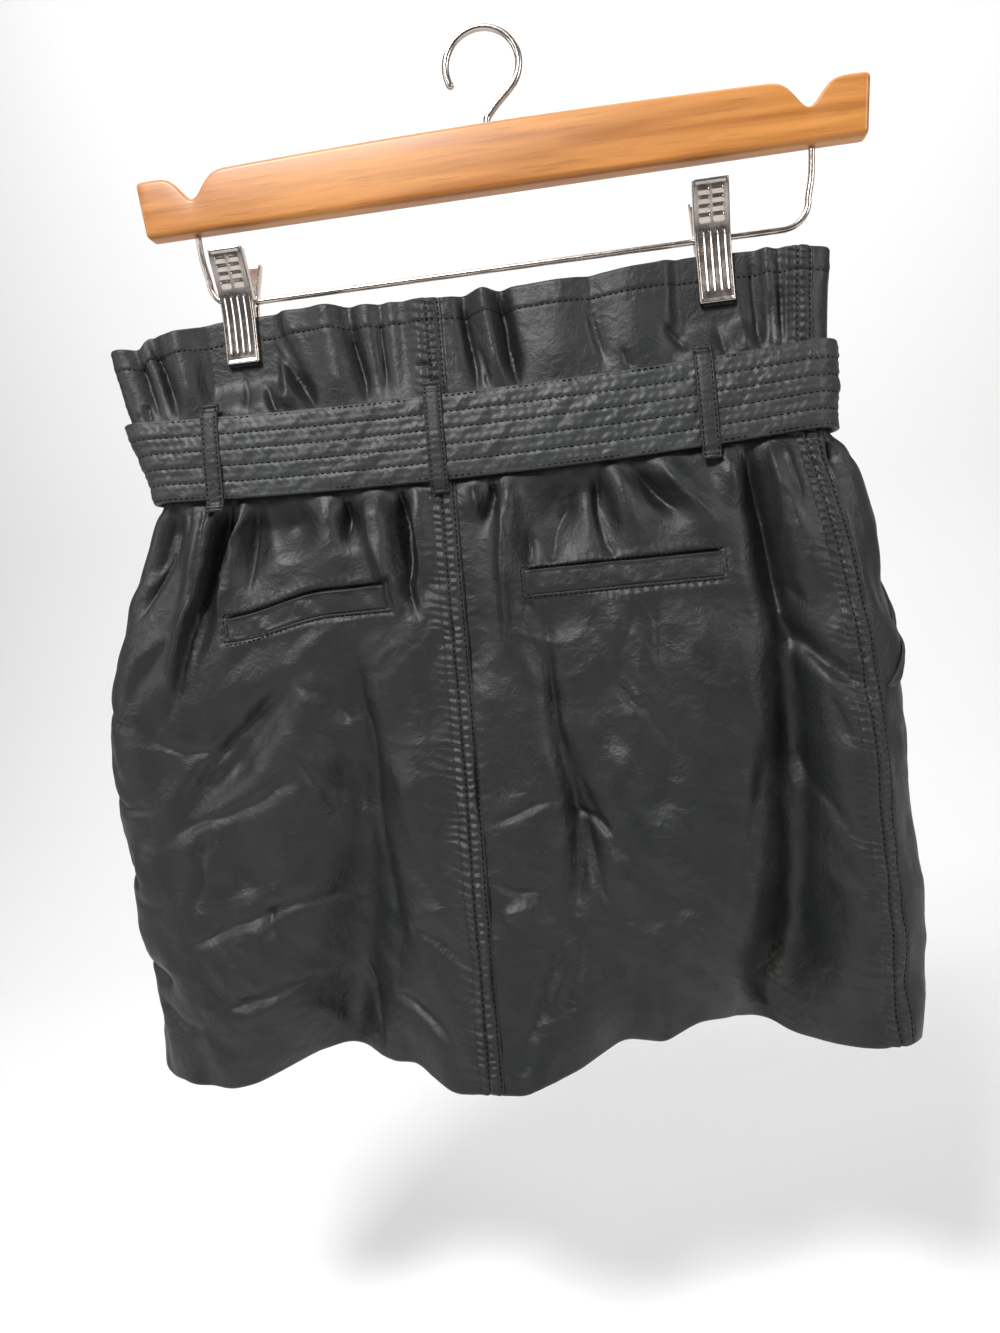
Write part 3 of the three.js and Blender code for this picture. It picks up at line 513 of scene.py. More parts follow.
# Across a seam, in mm from its line: where a part rises and where it falls.
SEAM_BAND, SEAM_PUCKERED = ((-0.4, 0.4), (8.6, 12.5)), ((1.5, 3.0), (6.0, 7.5))
SEAM_BEYOND, SEAM_BESIDE = ((7.7, 9.2), (10, 22)), ((-7, -1.2), (-1.2, 0))
BAND_TALL, RUNG_TALL, CROSSING_TALL, BEYOND_TALL, BESIDE_TALL = 0.8, 0.95, 0.55, 1.25, 0.35
ROW_DEEP, ROW_HALF, BESIDE_PITCH = 0.6, 0.8, 6.3


def sewn_seam(away, v, seed, tall):
    """A double-stitched seam: away is the distance from the seam line into the sewn side."""
    wander = 1.3 * ripple(away, v, 5, 9, seed + 3)
    rungs = puckers(v + 0.3 * away + wander, SEAM_PITCH, seed)
    crossing = puckers(v - 0.55 * away + wander, SEAM_PITCH, seed)
    fading = away + 4 * ripple(v, away * 0, 9, 1, seed + 4)
    beyond = smooth(*SEAM_BEYOND[0], away) * (1 - smooth(*SEAM_BEYOND[1], fading))
    between = RUNG_TALL * rungs + CROSSING_TALL * crossing
    puckered = between * within(away, *SEAM_PUCKERED) + BEYOND_TALL * beyond * rungs
    beside = within(away, *SEAM_BESIDE) * puckers(v, BESIDE_PITCH, seed + 5)
    height = BAND_TALL * within(away, *SEAM_BAND) + tall * (puckered + BESIDE_TALL * beside)
    return height - ROW_DEEP * sum(bump(away - row, ROW_HALF) for row in SEAM_ROWS)


def seams(section, p):
    """The three seams at p: distance from each into its sewn side, seed and strength."""
    back = sides(section, p)[1]
    return [(-back, 21, 1.0), (section.seam - back, 31, 0.95), (back - section.left_seam, 41, 0.8)]


def welt_frame(p, v, ends):
    """How far a place is inside a welt's outline: across its height, and along it."""
    top = v - welt_drag(p, v) - WELT_TOP
    foot = WELT_FOOT - (v - welt_drag(p, v))
    return top, foot, p - ends[0], ends[1] - p


def welt_surround(p, v, ends, seed):
    """The panel round a welt: puckers, a row of sewing, the slit above and a rolled edge below."""
    top, foot, left, right = welt_frame(p, v, ends)
    along = smooth(-4, 2, left) * smooth(-4, 2, right)
    above = bump(top + 3.6, 2.4) * (top < 0)
    below = bump(foot + 4.0, 3.0) * (foot < 0)
    puckered = along * puckers(p, WELT_PITCH, seed) * (0.8 * above + below)
    side = np.minimum(left, right)
    sewn = np.minimum(foot, side)
    inside = np.minimum(top, sewn)
    slit_half = 0.6 + 0.15 * ripple(p, 0 * p, 12, 1, seed + 2)
    slit = smooth(-0.8, 3, side) * bump(top + 0.35, slit_half)
    rolled = bump(sewn + 0.55, 0.6) * (top > -0.5)
    sunk = 0.4 * bump(inside + WELT_ROW, 0.6) + 0.5 * smooth(-0.3, 0.6, inside)
    return puckered - sunk + rolled - SLIT_DEEP * slit


# Sizes, places and seeds of the relief's parts.
SWELLS = [Ripple(21, 44, 2.7, 0.35, 1), Ripple(11, 20, 1.4, -0.3, 2)]
SWELL_FROM, SWELL_FULL, BACK_REACH, SEAM_REACH = 110, 200, 262, 40
WANDER, BODY_CRISP = 1.6, 0.35
WELT_SEEDS = {"welt_left": 51, "welt_right": 56}
HEM_TURN, FACING, HEM_PITCH = 12.5, 31, 6.5


def hand_creases(back, u, v):
    """The back's creases, their paths bent a little, and by how much they are bent down."""
    bent_p = back + WANDER * ripple(back, v, 16, 18, 11)
    bend = WANDER * ripple(back, v, 14, 16, 12)
    near = sum(crease_height(crease, bent_p, u + bend) for crease in FRILL_CREASES + HIP_CREASES)
    body = sum(crease_height(crease, bent_p, v + bend, BODY_CRISP) for crease in BODY_CREASES)
    return (GATHER_GAIN * near + BODY_GAIN * body) * (np.abs(back) < BACK_REACH), bend


def welted_share(back, v):
    """1 on the welts, 0 away from them."""
    inside = [np.minimum.reduce(welt_frame(back, v, ends)) for ends in WELTS.values()]
    return smooth(-5, -1, np.maximum(*inside))


def edge_relief(at, v):
    """The top hem with its row of sewing, the facing at the foot, and both rounded edges."""
    hem = 0.3 * (1 - smooth(HEM_TURN - 0.9, HEM_TURN + 0.9, v)) - 0.35 * bump(v - HEM_ROW, 0.8)
    beside = bump(v - HEM_ROW - 2.3, 2.2) + bump(v - HEM_ROW + 2.3, 2.2)
    facing = 0.35 * smooth(LENGTH - FACING - 1, LENGTH - FACING + 1, v)
    rounding = 0.9 * smooth(LENGTH - 1.2, LENGTH, v) + 0.7 * (1 - smooth(0, 1.2, v))
    return hem + 0.35 * puckers(at, HEM_PITCH, 61) * beside + facing - rounding


def relief(section, p, v):
    """Creases, sewing and the leather's own unevenness, over the large folds."""
    at, back, front = sides(section, p)
    u = v - sag_at(section, at)
    creased, bend = hand_creases(back, u, v)
    bent_front = front + WANDER * ripple(front, v, 16, 18, 13)
    creased = creased + sum(crease_height(crease, bent_front, u + bend)
                            for crease in hidden_creases())
    welted = welted_share(back, v)
    pressed = within(u, (BELT_TOP - 4, BELT_TOP + 2), (BELT_TOP + 44, BELT_TOP + 49))
    free = (1 - 0.8 * welted) * (1 - 0.7 * pressed)
    swell = smooth(SWELL_FROM, SWELL_FULL, v) * ripples(SWELLS, at, v)
    height = creased * (1 - 0.85 * welted) * (1 - 0.8 * pressed) + free * (swell + crumple(at, v))
    for away, seed, tall in seams(section, p):
        height = height + sewn_seam(away, v, seed, tall) * (np.abs(away) < SEAM_REACH)
    for name, ends in WELTS.items():
        height = height + welt_surround(back, v, ends, WELT_SEEDS[name])
    return height + edge_relief(at, v)


def clip_press(x, v):
    """How far the clips press the cloth flat at a place, from 0 to 1."""
    near = [1 - smooth(PINCH_FULL, PINCH_NONE, np.abs(x + CENTRE_BACK_X - at))
            for at in CLIPS.values()]
    return (1 - smooth(PINCH_FULL_V, PINCH_NONE_V, v)) * np.maximum(*near)


def cloth(p, v, detail=True, out=0.0):
    """Points of the cloth's outer surface, moved out level by out, as an array (..., 3)."""
    p, v = alike(p, v)
    section = Section(v)
    height = fold_form(section, p, v)
    x, y, nx, ny = section.point(p)
    press = clip_press(x, v)
    extra = out + (relief(section, p, v) * (1 - 0.7 * press) if detail else 0)
    pinched = np.sign(ny) * (WALL + SEAM_GAP / 2)
    cx = x + nx * (height * (1 - press) + extra)
    cy = (y + ny * height) * (1 - press) + pinched * press + ny * extra
    lift = -FOLD_LIFT * height * (v / LENGTH) ** 2
    corner = CORNER_DROP.depth * smooth(-CORNER_DROP.start, -CORNER_DROP.end, -x)
    rise = through(TOP_RISE, x) * (1 - smooth(0, BELT_TOP, v))
    hem = through(HEM_DROP, sides(section, p)[1]) * smooth(HEM_DROP_FROM, LENGTH, v)
    drop = corner * (1 - smooth(0, CORNER_DROP.fade, v)) + hem - rise
    return np.stack([CENTRE_BACK_X + cx, cy, TOP_Z - v + lift - drop], -1)


def cloth_normal(p, v):
    """Outward unit normals of the cloth without its relief, over a step of 1 mm each way."""
    across = cloth(p + 1.0, v, False) - cloth(p - 1.0, v, False)
    down = cloth(p, v + 1.0, False) - cloth(p, v - 1.0, False)
    return unit(np.cross(down, across))


def spaced(start, end, coarse, bands=()):
    """Places from start to end, coarse apart, or closer inside the bands (low, high, step)."""
    places = [start]
    while places[-1] < end:
        here = places[-1]
        step = min([band[2] for band in bands if band[0] - 0.5 <= here <= band[1]], default=coarse)
        ahead = [band[0] for band in bands if here < band[0] < here + step]
        places.append(min(ahead) if ahead else here + step)
    places = np.array(places[:-1] + [end])
    if places[-1] - places[-2] < 0.4 * coarse and len(places) > 2:
        places = np.delete(places, -2)
    return places


def new_object(name, data):
    made = bpy.data.objects.new(name, data)
    bpy.context.scene.collection.objects.link(made)
    return made


def mesh_object(name, points, faces, material):
    """A smooth mesh object from points in mm and faces."""
    mesh = bpy.data.meshes.new(name)
    mesh.from_pydata((np.asarray(points) * MM).tolist(), [], faces)
    mesh.update()
    mesh.polygons.foreach_set("use_smooth", [True] * len(mesh.polygons))
    mesh.materials.append(material)
    return new_object(name, mesh)


def make_mesh(name, points, faces, material):
    """A mesh that rides on the root body."""
    piece = mesh_object(name, points, faces, material)
    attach(piece, "root")
    return piece


def stand_for(piece, node):
    """The piece takes the place of the CAD node, which it hides."""
    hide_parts(node)
    return piece


def grid_faces(nu, nv, start=0, flip=False):
    """Quads over a grid of nu by nv points. i runs along +p and j runs down."""
    i, j = np.meshgrid(np.arange(nu - 1), np.arange(nv - 1))
    a = start + j * nu + i
    quads = np.stack([a, a + nu, a + nu + 1, a + 1], -1).reshape(-1, 4)
    return quads[:, ::-1] if flip else quads


def kept(count, every):
    """Every few places out of a count of them, with the last."""
    return np.append(np.arange(0, count - 1, every), count - 1)


def shell(name, outer, inner, material, every=1):
    """A closed shell between two grids of points (rows, columns, 3), the inner one coarser."""
    nv, nu = outer.shape[:2]
    rows, columns = kept(nv, every), kept(nu, every)
    inner = inner[rows][:, columns]
    mv, mu = inner.shape[:2]
    count = nu * nv
    faces = grid_faces(nu, nv).tolist() + grid_faces(mu, mv, count, flip=True).tolist()

    def rim(edge, places, under):
        for k in range(len(places) - 1):
            faces.append([*edge[places[k]:places[k + 1] + 1], under[k + 1], under[k]])

    under_foot, under_side = count + (mv - 1) * mu + np.arange(mu), count + np.arange(mv) * mu
    rim(np.arange(nu), columns, count + np.arange(mu))
    rim(((nv - 1) * nu + np.arange(nu))[::-1], (nu - 1 - columns)[::-1], under_foot[::-1])
    rim((np.arange(nv) * nu)[::-1], (nv - 1 - rows)[::-1], under_side[::-1])
    rim(np.arange(nv) * nu + nu - 1, rows, under_side + mu - 1)
    points = np.concatenate([outer.reshape(-1, 3), inner.reshape(-1, 3)])
    return make_mesh(name, points, [[int(i) for i in face] for face in faces], material)


def ring_faces(count, around):
    """Quads between rings of points, and a cap at each end."""
    faces = []
    for ring in range(count - 1):
        for k in range(around):
            a, b = ring * around + k, ring * around + (k + 1) % around
            faces.append([a, b, b + around, a + around])
    last = (count - 1) * around
    return faces + [list(range(around))[::-1], list(range(last, last + around))]


# Materials.
class Graph:
    """A new material's node tree, with short ways to add and join its nodes."""

    def __init__(self, name):
        self.material = bpy.data.materials.new(name)
        self.material.use_nodes = True
        self.tree = self.material.node_tree
        self.shader = self.tree.nodes["Principled BSDF"]
        self.place = self.add("ShaderNodeTexCoord").outputs["Object"]

    def add(self, kind, **values):
        node = self.tree.nodes.new(kind)
        for key, value in values.items():
            if key in node.inputs:
                node.inputs[key].default_value = value
            else:
                setattr(node, key, value)
        return node

    def join(self, out, into):
        self.tree.links.new(out, into)

    def give(self, **inputs):
        """Sets or joins the shader's own inputs, with _ for a space in a name."""
        for key, value in inputs.items():
            socket = self.shader.inputs[key.replace("_", " ")]
            if isinstance(value, float):
                socket.default_value = value
            else:
                self.join(value, socket)

    def stretched(self, scale):
        node = self.add("ShaderNodeMapping", Scale=scale)
        self.join(self.place, node.inputs["Vector"])
        return node.outputs[0]

    def noise(self, scale, detail=2.0, distortion=0.0, at=None):
        node = self.add("ShaderNodeTexNoise", Scale=scale, Detail=detail, Distortion=distortion)
        self.join(at or self.place, node.inputs["Vector"])
        return node.outputs["Fac"]

    def spread(self, value, low, high, to_low=0.0, to_high=1.0):
        node = self.add("ShaderNodeMapRange", clamp=True)
        for socket, number in zip((1, 2, 3, 4), (low, high, to_low, to_high)):
            node.inputs[socket].default_value = number
        self.join(value, node.inputs[0])
        return node.outputs[0]

    def blend(self, share, first, second):
        """first and second are a colour or a socket."""
        node = self.add("ShaderNodeMix", data_type="RGBA")
        self.join(share, node.inputs[0])
        for socket, colour in ((6, first), (7, second)):
            if isinstance(colour, tuple):
                node.inputs[socket].default_value = (*colour, 1)
            else:
                self.join(colour, node.inputs[socket])
        return node.outputs[2]

    def bumps(self, layers):
        """Bump layers, each (height, strength, distance in mm), one over another."""
        below = None
        for height, strength, distance in layers:
            node = self.add("ShaderNodeBump", Strength=strength, Distance=distance * MM)
            self.join(height, node.inputs["Height"])
            if below is not None:
                self.join(below, node.inputs["Normal"])
            below = node.outputs["Normal"]
        self.give(Normal=below)


# Colours from dark to light, linear. The scuff is the rubbed place near the hem.
LEATHER_TONES = (0.0045, 0.0053, 0.0056), (0.0095, 0.0102, 0.0105)
BELT_TONES = (0.018, 0.019, 0.0197), (0.031, 0.0325, 0.0335)
TINT, SCUFF_TONE = (0.0135, 0.012, 0.011), (0.075, 0.066, 0.055)
THREAD_TONES = (0.002, 0.002, 0.0025), (0.009, 0.0095, 0.01)
# The chrome's tones hold a painted brownish reflection of the room over the metal's own grey.
CHROME_AND_ROOM_REFLECTION_TONES = (0.42, 0.36, 0.32), (0.62, 0.56, 0.52)
WOOD_TONES, PORE_TONE = ((0.34, 0.115, 0.018), (0.55, 0.225, 0.045)), (0.2, 0.07, 0.016)
RUBBER_TONES = (0.008, 0.008, 0.008), (0.022, 0.022, 0.021)
CHROME_ROUGH = (0.2, 0.34)
BACKDROP_TONES = (0.78, 0.78, 0.78), (0.81, 0.81, 0.81)
LEATHER_ROUGH, BELT_ROUGH, THREAD_ROUGH, RUBBER_ROUGH, BACKDROP_ROUGH = 0.53, 0.52, 0.8, 0.78, 0.9
SCUFF_CENTRE, SCUFF_SIZE = (111.0, 0.0, -515.0), (7.0, 400.0, 13.0)
# The leather's bumps: noise scale, detail, distortion and depth in mm.
LEATHER_BUMPS = [(46, 3, 0.8, 0.9), (130, 5, 1.4, 0.5), (380, 4, 0.8, 0.2)]
PEBBLE_SCALE, PEBBLE_STRENGTH, PEBBLE_DEPTH = 950.0, 0.6, 0.1


def leather(name, tones, roughness, scuffed=False):
    """Smooth coated leather: a fine pebbled grain, small wrinkles and a soft, uneven sheen."""
    graph = Graph(name)
    patches, small = graph.noise(24, 3), graph.noise(420, 3)
    shade = graph.add("ShaderNodeMath", operation="MULTIPLY_ADD")
    graph.join(small, shade.inputs[0])
    shade.inputs[1].default_value = 0.45
    graph.join(graph.spread(patches, 0.3, 0.7, 0.0, 0.55), shade.inputs[2])
    colour = graph.blend(shade.outputs[0], *tones)
    colour = graph.blend(graph.spread(graph.noise(9, 2), 0.4, 0.62, 0.0, 0.45), colour, TINT)
    sheen = graph.spread(graph.noise(55, 4, 0.6), 0.3, 0.7, roughness - 0.06, roughness + 0.07)
    if scuffed:
        moved = graph.add("ShaderNodeMapping", vector_type="TEXTURE")
        moved.inputs["Location"].default_value = [x * MM for x in SCUFF_CENTRE]
        moved.inputs["Scale"].default_value = [x * MM for x in SCUFF_SIZE]
        graph.join(graph.place, moved.inputs["Vector"])
        length = graph.add("ShaderNodeVectorMath", operation="LENGTH")
        graph.join(moved.outputs[0], length.inputs[0])
        rubbed = graph.add("ShaderNodeMath", operation="MULTIPLY")
        graph.join(graph.spread(length.outputs["Value"], 0.2, 1.6, 1.0, 0.0), rubbed.inputs[0])
        graph.join(graph.spread(graph.noise(260, 5, 0.8), 0.42, 0.66), rubbed.inputs[1])
        colour = graph.blend(rubbed.outputs[0], colour, SCUFF_TONE)
    pebble = graph.add("ShaderNodeTexVoronoi", Scale=PEBBLE_SCALE, feature="SMOOTH_F1")
    graph.join(graph.place, pebble.inputs["Vector"])
    layers = [(graph.noise(*row[:3]), 1.0, row[3]) for row in LEATHER_BUMPS]
    graph.bumps(layers + [(pebble.outputs["Distance"], PEBBLE_STRENGTH, PEBBLE_DEPTH)])
    graph.give(Base_Color=colour, Roughness=sheen, Specular_IOR_Level=0.5)
    return graph.material


def thread():
    graph = Graph("thread")
    fibre = graph.noise(3200, 2)
    graph.bumps([(fibre, 0.4, 0.1)])
    graph.give(Base_Color=graph.blend(fibre, *THREAD_TONES), Roughness=THREAD_ROUGH,
               Specular_IOR_Level=0.12)
    return graph.material


def chrome():
    graph = Graph("chrome")
    graph.bumps([(graph.noise(900, 3), 0.08, 0.05)])
    # The base colour paints a brownish reflection of the room onto the chrome.
    graph.give(Base_Color=graph.blend(graph.noise(70, 3), *CHROME_AND_ROOM_REFLECTION_TONES), Metallic=1.0,
               Roughness=graph.spread(graph.noise(160, 4, 0.5), 0.35, 0.75, *CHROME_ROUGH))
    return graph.material


def wood():
    """Varnished light wood, its grain along the arm."""
    graph = Graph("wood")
    grain = graph.noise(2.4, 6, 0.5, at=graph.stretched((3.2, 60, 46)))
    fine = graph.noise(1.0, 3, at=graph.stretched((40, 900, 900)))
    tone = graph.blend(graph.spread(grain, 0.34, 0.68), *WOOD_TONES)
    tone = graph.blend(graph.spread(fine, 0.56, 0.78, 0, 0.5), tone, PORE_TONE)
    graph.bumps([(fine, 0.2, 0.12)])
    graph.give(Base_Color=tone, Roughness=graph.spread(grain, 0.3, 0.7, 0.36, 0.48),
               Coat_Weight=0.15, Coat_Roughness=0.18)
    return graph.material


def rubber():
    graph = Graph("rubber")
    dust = graph.spread(graph.noise(200, 4), 0.4, 0.7)
    graph.bumps([(graph.noise(1200, 3), 0.3, 0.1)])
    graph.give(Base_Color=graph.blend(dust, *RUBBER_TONES), Roughness=RUBBER_ROUGH)
    return graph.material


LEATHER = leather("leather", LEATHER_TONES, LEATHER_ROUGH, scuffed=True)
BELT_LEATHER = leather("belt_leather", BELT_TONES, BELT_ROUGH)
THREAD, CHROME, WOOD, RUBBER = thread(), chrome(), wood(), rubber()


# Stitches: short threads that dive into the leather at both ends.
Row = namedtuple("Row", "starts ends normals")
THREAD_RADIUS, STITCH_PITCH, STITCH_LENGTH, THREAD_SIDES = 0.36, 3.1, 2.1, 5
THREAD_RINGS = [(0.0, 0.45, -1.1), (0.2, 1.0, 0.0), (0.8, 1.0, 0.0), (1.0, 0.45, -1.1)]


def row_of_stitches(points, normals, pitch=STITCH_PITCH, length=STITCH_LENGTH, keep=None):
    steps = np.linalg.norm(np.diff(points, axis=0), axis=1)
    along = np.concatenate([[0], np.cumsum(steps)])
    starts = np.arange(0.4, along[-1] - length, pitch)

    def at(values, places):
        return np.stack([np.interp(places, along, values[:, k]) for k in range(3)], -1)

    row = Row(at(points, starts), at(points, starts + length), at(normals, starts + length / 2))
    if keep is None:
        return row
    kept = np.interp(starts, along, keep.astype(float)) > 0.5
    return Row(*(part[kept] for part in row))


def stitches(name, rows):
    """All the stitches of some rows as one piece."""
    starts, ends, normals = (np.concatenate([getattr(row, key) for row in rows])
                             for key in Row._fields)
    axis = ends - starts
    side = unit(np.cross(normals, axis))
    up = unit(np.cross(axis, side))
    rings = []
    for share, size, lift in THREAD_RINGS:
        for k in range(THREAD_SIDES):
            turn = 2 * math.pi * k / THREAD_SIDES
            r = THREAD_RADIUS * size
            around = r * math.cos(turn) * side + (r * math.sin(turn) + THREAD_RADIUS * lift) * up
            rings.append(starts + share * axis + around)
    points = np.stack(rings, 1)
    each = np.array(ring_faces(len(THREAD_RINGS), THREAD_SIDES)[:-2])[:, [1, 0, 3, 2]]
    first = np.arange(len(starts)) * points.shape[1]
    everything = (each[None] + first[:, None, None]).reshape(-1, 4)
    piece = make_mesh(name, points.reshape(-1, 3), everything.tolist(), THREAD)
    return piece


def cloth_row(p, v, keep=None, **options):
    """A row of stitches in the cloth along the places p and v."""
    p, v = alike(p, v)
    return row_of_stitches(cloth(p, v, out=0.1), cloth_normal(p, v), keep=keep, **options)


# The skirt's panels: p at each side, width in mm, and how far apart the points lie both ways.
Panel = namedtuple("Panel", "start end width across down")
BACK_DOWN = dict(coarse=1.2, bands=[(0, 16, 0.8), (148, 179, 0.55), (LENGTH - 3, LENGTH, 0.6)])
FRONT_DOWN = dict(coarse=2.3, bands=[(0, 16, 1.0), (LENGTH - 3, LENGTH, 0.8)])
PANELS = {
    "back_right": Panel(lambda s: 0 * s.seam, lambda s: s.seam, 208, dict(coarse=1.25), BACK_DOWN),
    "front": Panel(lambda s: s.seam, lambda s: s.girth + s.left_seam, 505,
                   dict(coarse=2.5, bands=[(0, 12, 1.2), (493, 505, 1.2)]), FRONT_DOWN),
    "back_left": Panel(lambda s: s.left_seam, lambda s: 0 * s.seam, 248,
                       dict(coarse=1.3), BACK_DOWN),
}


def thickness(v):
    """The leather's thickness, rounded off at its two edges."""
    return WALL * (1 - 0.6 * (1 - smooth(0, 1.3, v)) - 0.6 * smooth(LENGTH - 1.3, LENGTH, v))


def panel_places(panel):
    share = spaced(0, panel.width, **panel.across) / panel.width
    v = np.repeat(spaced(0, LENGTH, **panel.down)[:, None], len(share), 1)
    section = Section(v)
    low, high = panel.start(section) + SEAM_GAP / 2, panel.end(section) - SEAM_GAP / 2
    return low + (high - low) * share, v


def grid_normals(points):
    """Outward unit normals of a grid of points, i along +p and j down."""
    down, across = np.gradient(points, axis=0), np.gradient(points, axis=1)
    return unit(np.cross(down, across))


def lowest(heights, reach):
    """The least height within reach of each place of a grid, both ways."""
    padded = np.pad(heights, reach, mode="edge")
    rows, columns = heights.shape
    moves = range(2 * reach + 1)
    return np.minimum.reduce([padded[i:i + rows, j:j + columns] for i in moves for j in moves])


# The side edges (0 is the first) that lie over the next panel, how far, and how deep they dip.
FLAP, FLAP_DIP = 0.95, 0.15
FLAPS = {"back_right": (-1,), "front": (), "back_left": (0, -1)}
STRIP_WIDTH, STRIP_SINK, INNER_EVERY = 13.0, 2.6, 3


def skirt_panel(name):
    """A panel's shell. Its sewn edges lie a little over the next panel, under the seam strips."""
    p, v = panel_places(PANELS[name])
    base = cloth(p, v, detail=False)
    normals = grid_normals(base)
    outer = cloth(p, v)
    for away, _, _ in seams(Section(v), p):
        under = within(away, (-0.2, 0.5), (STRIP_WIDTH - 2.2, STRIP_WIDTH - 0.7))
        outer = outer - normals * (STRIP_SINK * under)[..., None]
    low = lowest(((outer - base) * normals).sum(-1), INNER_EVERY)
    inner = base + normals * (low - thickness(v))[..., None]
    for edge in FLAPS[name]:
        way = unit(outer[:, edge] - outer[:, 1 if edge == 0 else -2])
        move = way * FLAP - normals[:, edge] * FLAP_DIP
        grids = [(grid, (grid[:, edge] + shift)[:, None])
                 for grid, shift in ((outer, move), (inner, move), (normals, 0))]
        outer, inner, normals = (np.concatenate(pair[::-1] if edge == 0 else pair, 1)
                                 for pair in grids)
    piece = shell("skirt_" + name, outer, inner, LEATHER, INNER_EVERY)
    return stand_for(piece, name)


def seam_strip(name, edge, inward):
    """The folded, double-stitched and puckered band beside a seam."""
    across = spaced(-0.7, STRIP_WIDTH, 0.55, bands=[(-0.7, 1.2, 0.3)])
    down = spaced(0.1, LENGTH - 0.1, 0.7)
    away, v = np.meshgrid(across[::inward], down)
    p = edge(Section(v)) + inward * away
    normals = grid_normals(cloth(p, v, detail=False))
    dip = 0.5 * (1 - smooth(-0.7, -0.2, away)) + 0.35 * smooth(STRIP_WIDTH - 1, STRIP_WIDTH, away)
    outer = cloth(p, v) - normals * dip[..., None]
    inner = outer - normals * (0.9 - 0.5 * smooth(STRIP_WIDTH - 1, STRIP_WIDTH, away))[..., None]
    piece = shell("seam_" + name, outer, inner, LEATHER, INNER_EVERY)
    return piece


def hem_row(name):
    """The top hem's row of stitches across a panel."""
    section = Section(np.array([HEM_ROW]))
    low, high = PANELS[name].start(section)[0], PANELS[name].end(section)[0]
    return cloth_row(np.arange(low + 1.5, high - 1.5, 0.8), HEM_ROW)


def seam_rows(edge, inward):
    """Both rows beside a seam. edge(section) is its p, and inward is the way to its sewn side."""
    v = np.arange(1.5, LENGTH - 1.5, 0.8)
    section = Section(v)
    shown = (v < BELT_TOP + 4) | (v > BELT_TOP + BELT_WIDTH - 3)
    return [cloth_row(edge(section) + inward * away, v, keep=shown) for away in SEAM_ROWS]


# Welt pockets on the back.
def welt_points(name, p, t, lift=0.0):
    """A welt's surface at p, t below its upper edge, moved out by lift."""
    ends = WELTS[name]
    p, t = alike(p, t)
    v = WELT_TOP + t + welt_drag(p, WELT_TOP + t)
    sewn = np.minimum.reduce([WELT_FOOT - WELT_TOP - t, p - ends[0], ends[1] - p])
    height = WELT_THICK * (0.25 + 0.75 * smooth(-0.3, 0.8, t))
    height = height * (0.15 + 0.85 * smooth(-0.2, 1.6, sewn))
    seed = WELT_SEEDS[name] + 20
    free = smooth(0.4, 3.5, sewn)
    uneven = 0.8 + 0.5 * ripple(p, 0 * p, 7, 1, seed + 1)
    crushed = 0.85 * smooth(0, 3, t) * ripple(p - 0.5 * t, 0.4 * t, 6.5, 9, seed)
    crushed = crushed + 0.3 * ripple(p, t, 3.5, 5, seed + 2)
    height = height + free * (1.2 * bump(t - 0.8, 0.75) * uneven + crushed)
    normal = cloth_normal(p, v)
    return cloth(p, v, detail=False) + normal * (height + lift)[..., None]


def welt(name):
    low, high = WELTS[name]
    tall = WELT_FOOT - WELT_TOP
    across = spaced(low, high, 1.1, bands=[(low, low + 3, 0.5), (high - 3, high, 0.5)])
    down = spaced(0, tall, 0.6, bands=[(0, 2.4, 0.35), (tall - 2, tall, 0.4)])
    p, t = np.meshgrid(across, down)
    outer, inner = welt_points(name, p, t), welt_points(name, p, t, -1.6)
    piece = shell("pocket_" + name, outer, inner, LEATHER)
    return stand_for(piece, name)


def welt_rows(name):
    """The row of stitches round a welt, in the panel."""
    low, high = WELTS[name][0] - WELT_ROW, WELTS[name][1] + WELT_ROW
    top, foot = WELT_TOP - WELT_ROW, WELT_FOOT + WELT_ROW
    span, rise = np.arange(low, high, 0.7), np.arange(top, foot, 0.7)
    for p, v in ((span, top), (span, foot), (low, rise), (high, rise)):
        yield cloth_row(p, v + welt_drag(p, v), pitch=2.7, length=1.9)


# Slanted pockets on the front: the folded lip of each.
MOUTH_ROW, MOUTH_FADE = 6.0, 10.5
MOUTH_START, MOUTH_END = POCKET_EDGE[0][0], POCKET_EDGE[-1][0]
MOUTH_SIDES = {"pocket_mouth_right": 1, "pocket_mouth_left": -1}


def mouth_places(side, across, v):
    section = Section(v)
    past = through(POCKET_EDGE, v) + across
    return np.where(side > 0, section.seam + past, section.left_seam - past)


def mouth_points(side, across, v, lift=0.0):
    """The lip's surface, moved out by lift, and where it lies along p."""
    across, v = alike(across, v)
    p = mouth_places(side, across, v)
    along = within(v, (MOUTH_START - 4, MOUTH_START + 3), (MOUTH_END - 3, MOUTH_END + 2))
    height = MOUTH_BED + MOUTH_THICK * smooth(-0.4, 0.8, across)
    fade = smooth(MOUTH_ROW + 0.8, MOUTH_FADE - 0.6, across)
    height = height - (MOUTH_BED + MOUTH_THICK + 0.7) * fade
    height = height * (0.35 + 0.65 * along) - 0.4 * bump(across - MOUTH_ROW, 0.7)
    height = height + 0.25 * puckers(v, 6.2, 81 + side) * within(across, (0.5, 3), (5, 9))
    return cloth(p, v) + cloth_normal(p, v) * (height + lift)[..., None], p


def pocket_mouth(name):
    side = MOUTH_SIDES[name]
    across = spaced(0, MOUTH_FADE, 0.6, bands=[(0, 1.2, 0.3)])
    across, v = np.meshgrid(across[::side], np.arange(MOUTH_START, MOUTH_END + 0.5, 1.1))
    outer, inner = mouth_points(side, across, v)[0], mouth_points(side, across, v, -1.2)[0]
    piece = shell(name + "_lip", outer, inner, LEATHER)
    return stand_for(piece, name)


def mouth_row(name):
    v = np.arange(MOUTH_START + 1, MOUTH_END - 1, 0.8)
    points, p = mouth_points(MOUTH_SIDES[name], MOUTH_ROW, v, 0.1)
    return row_of_stitches(points, cloth_normal(p, v))


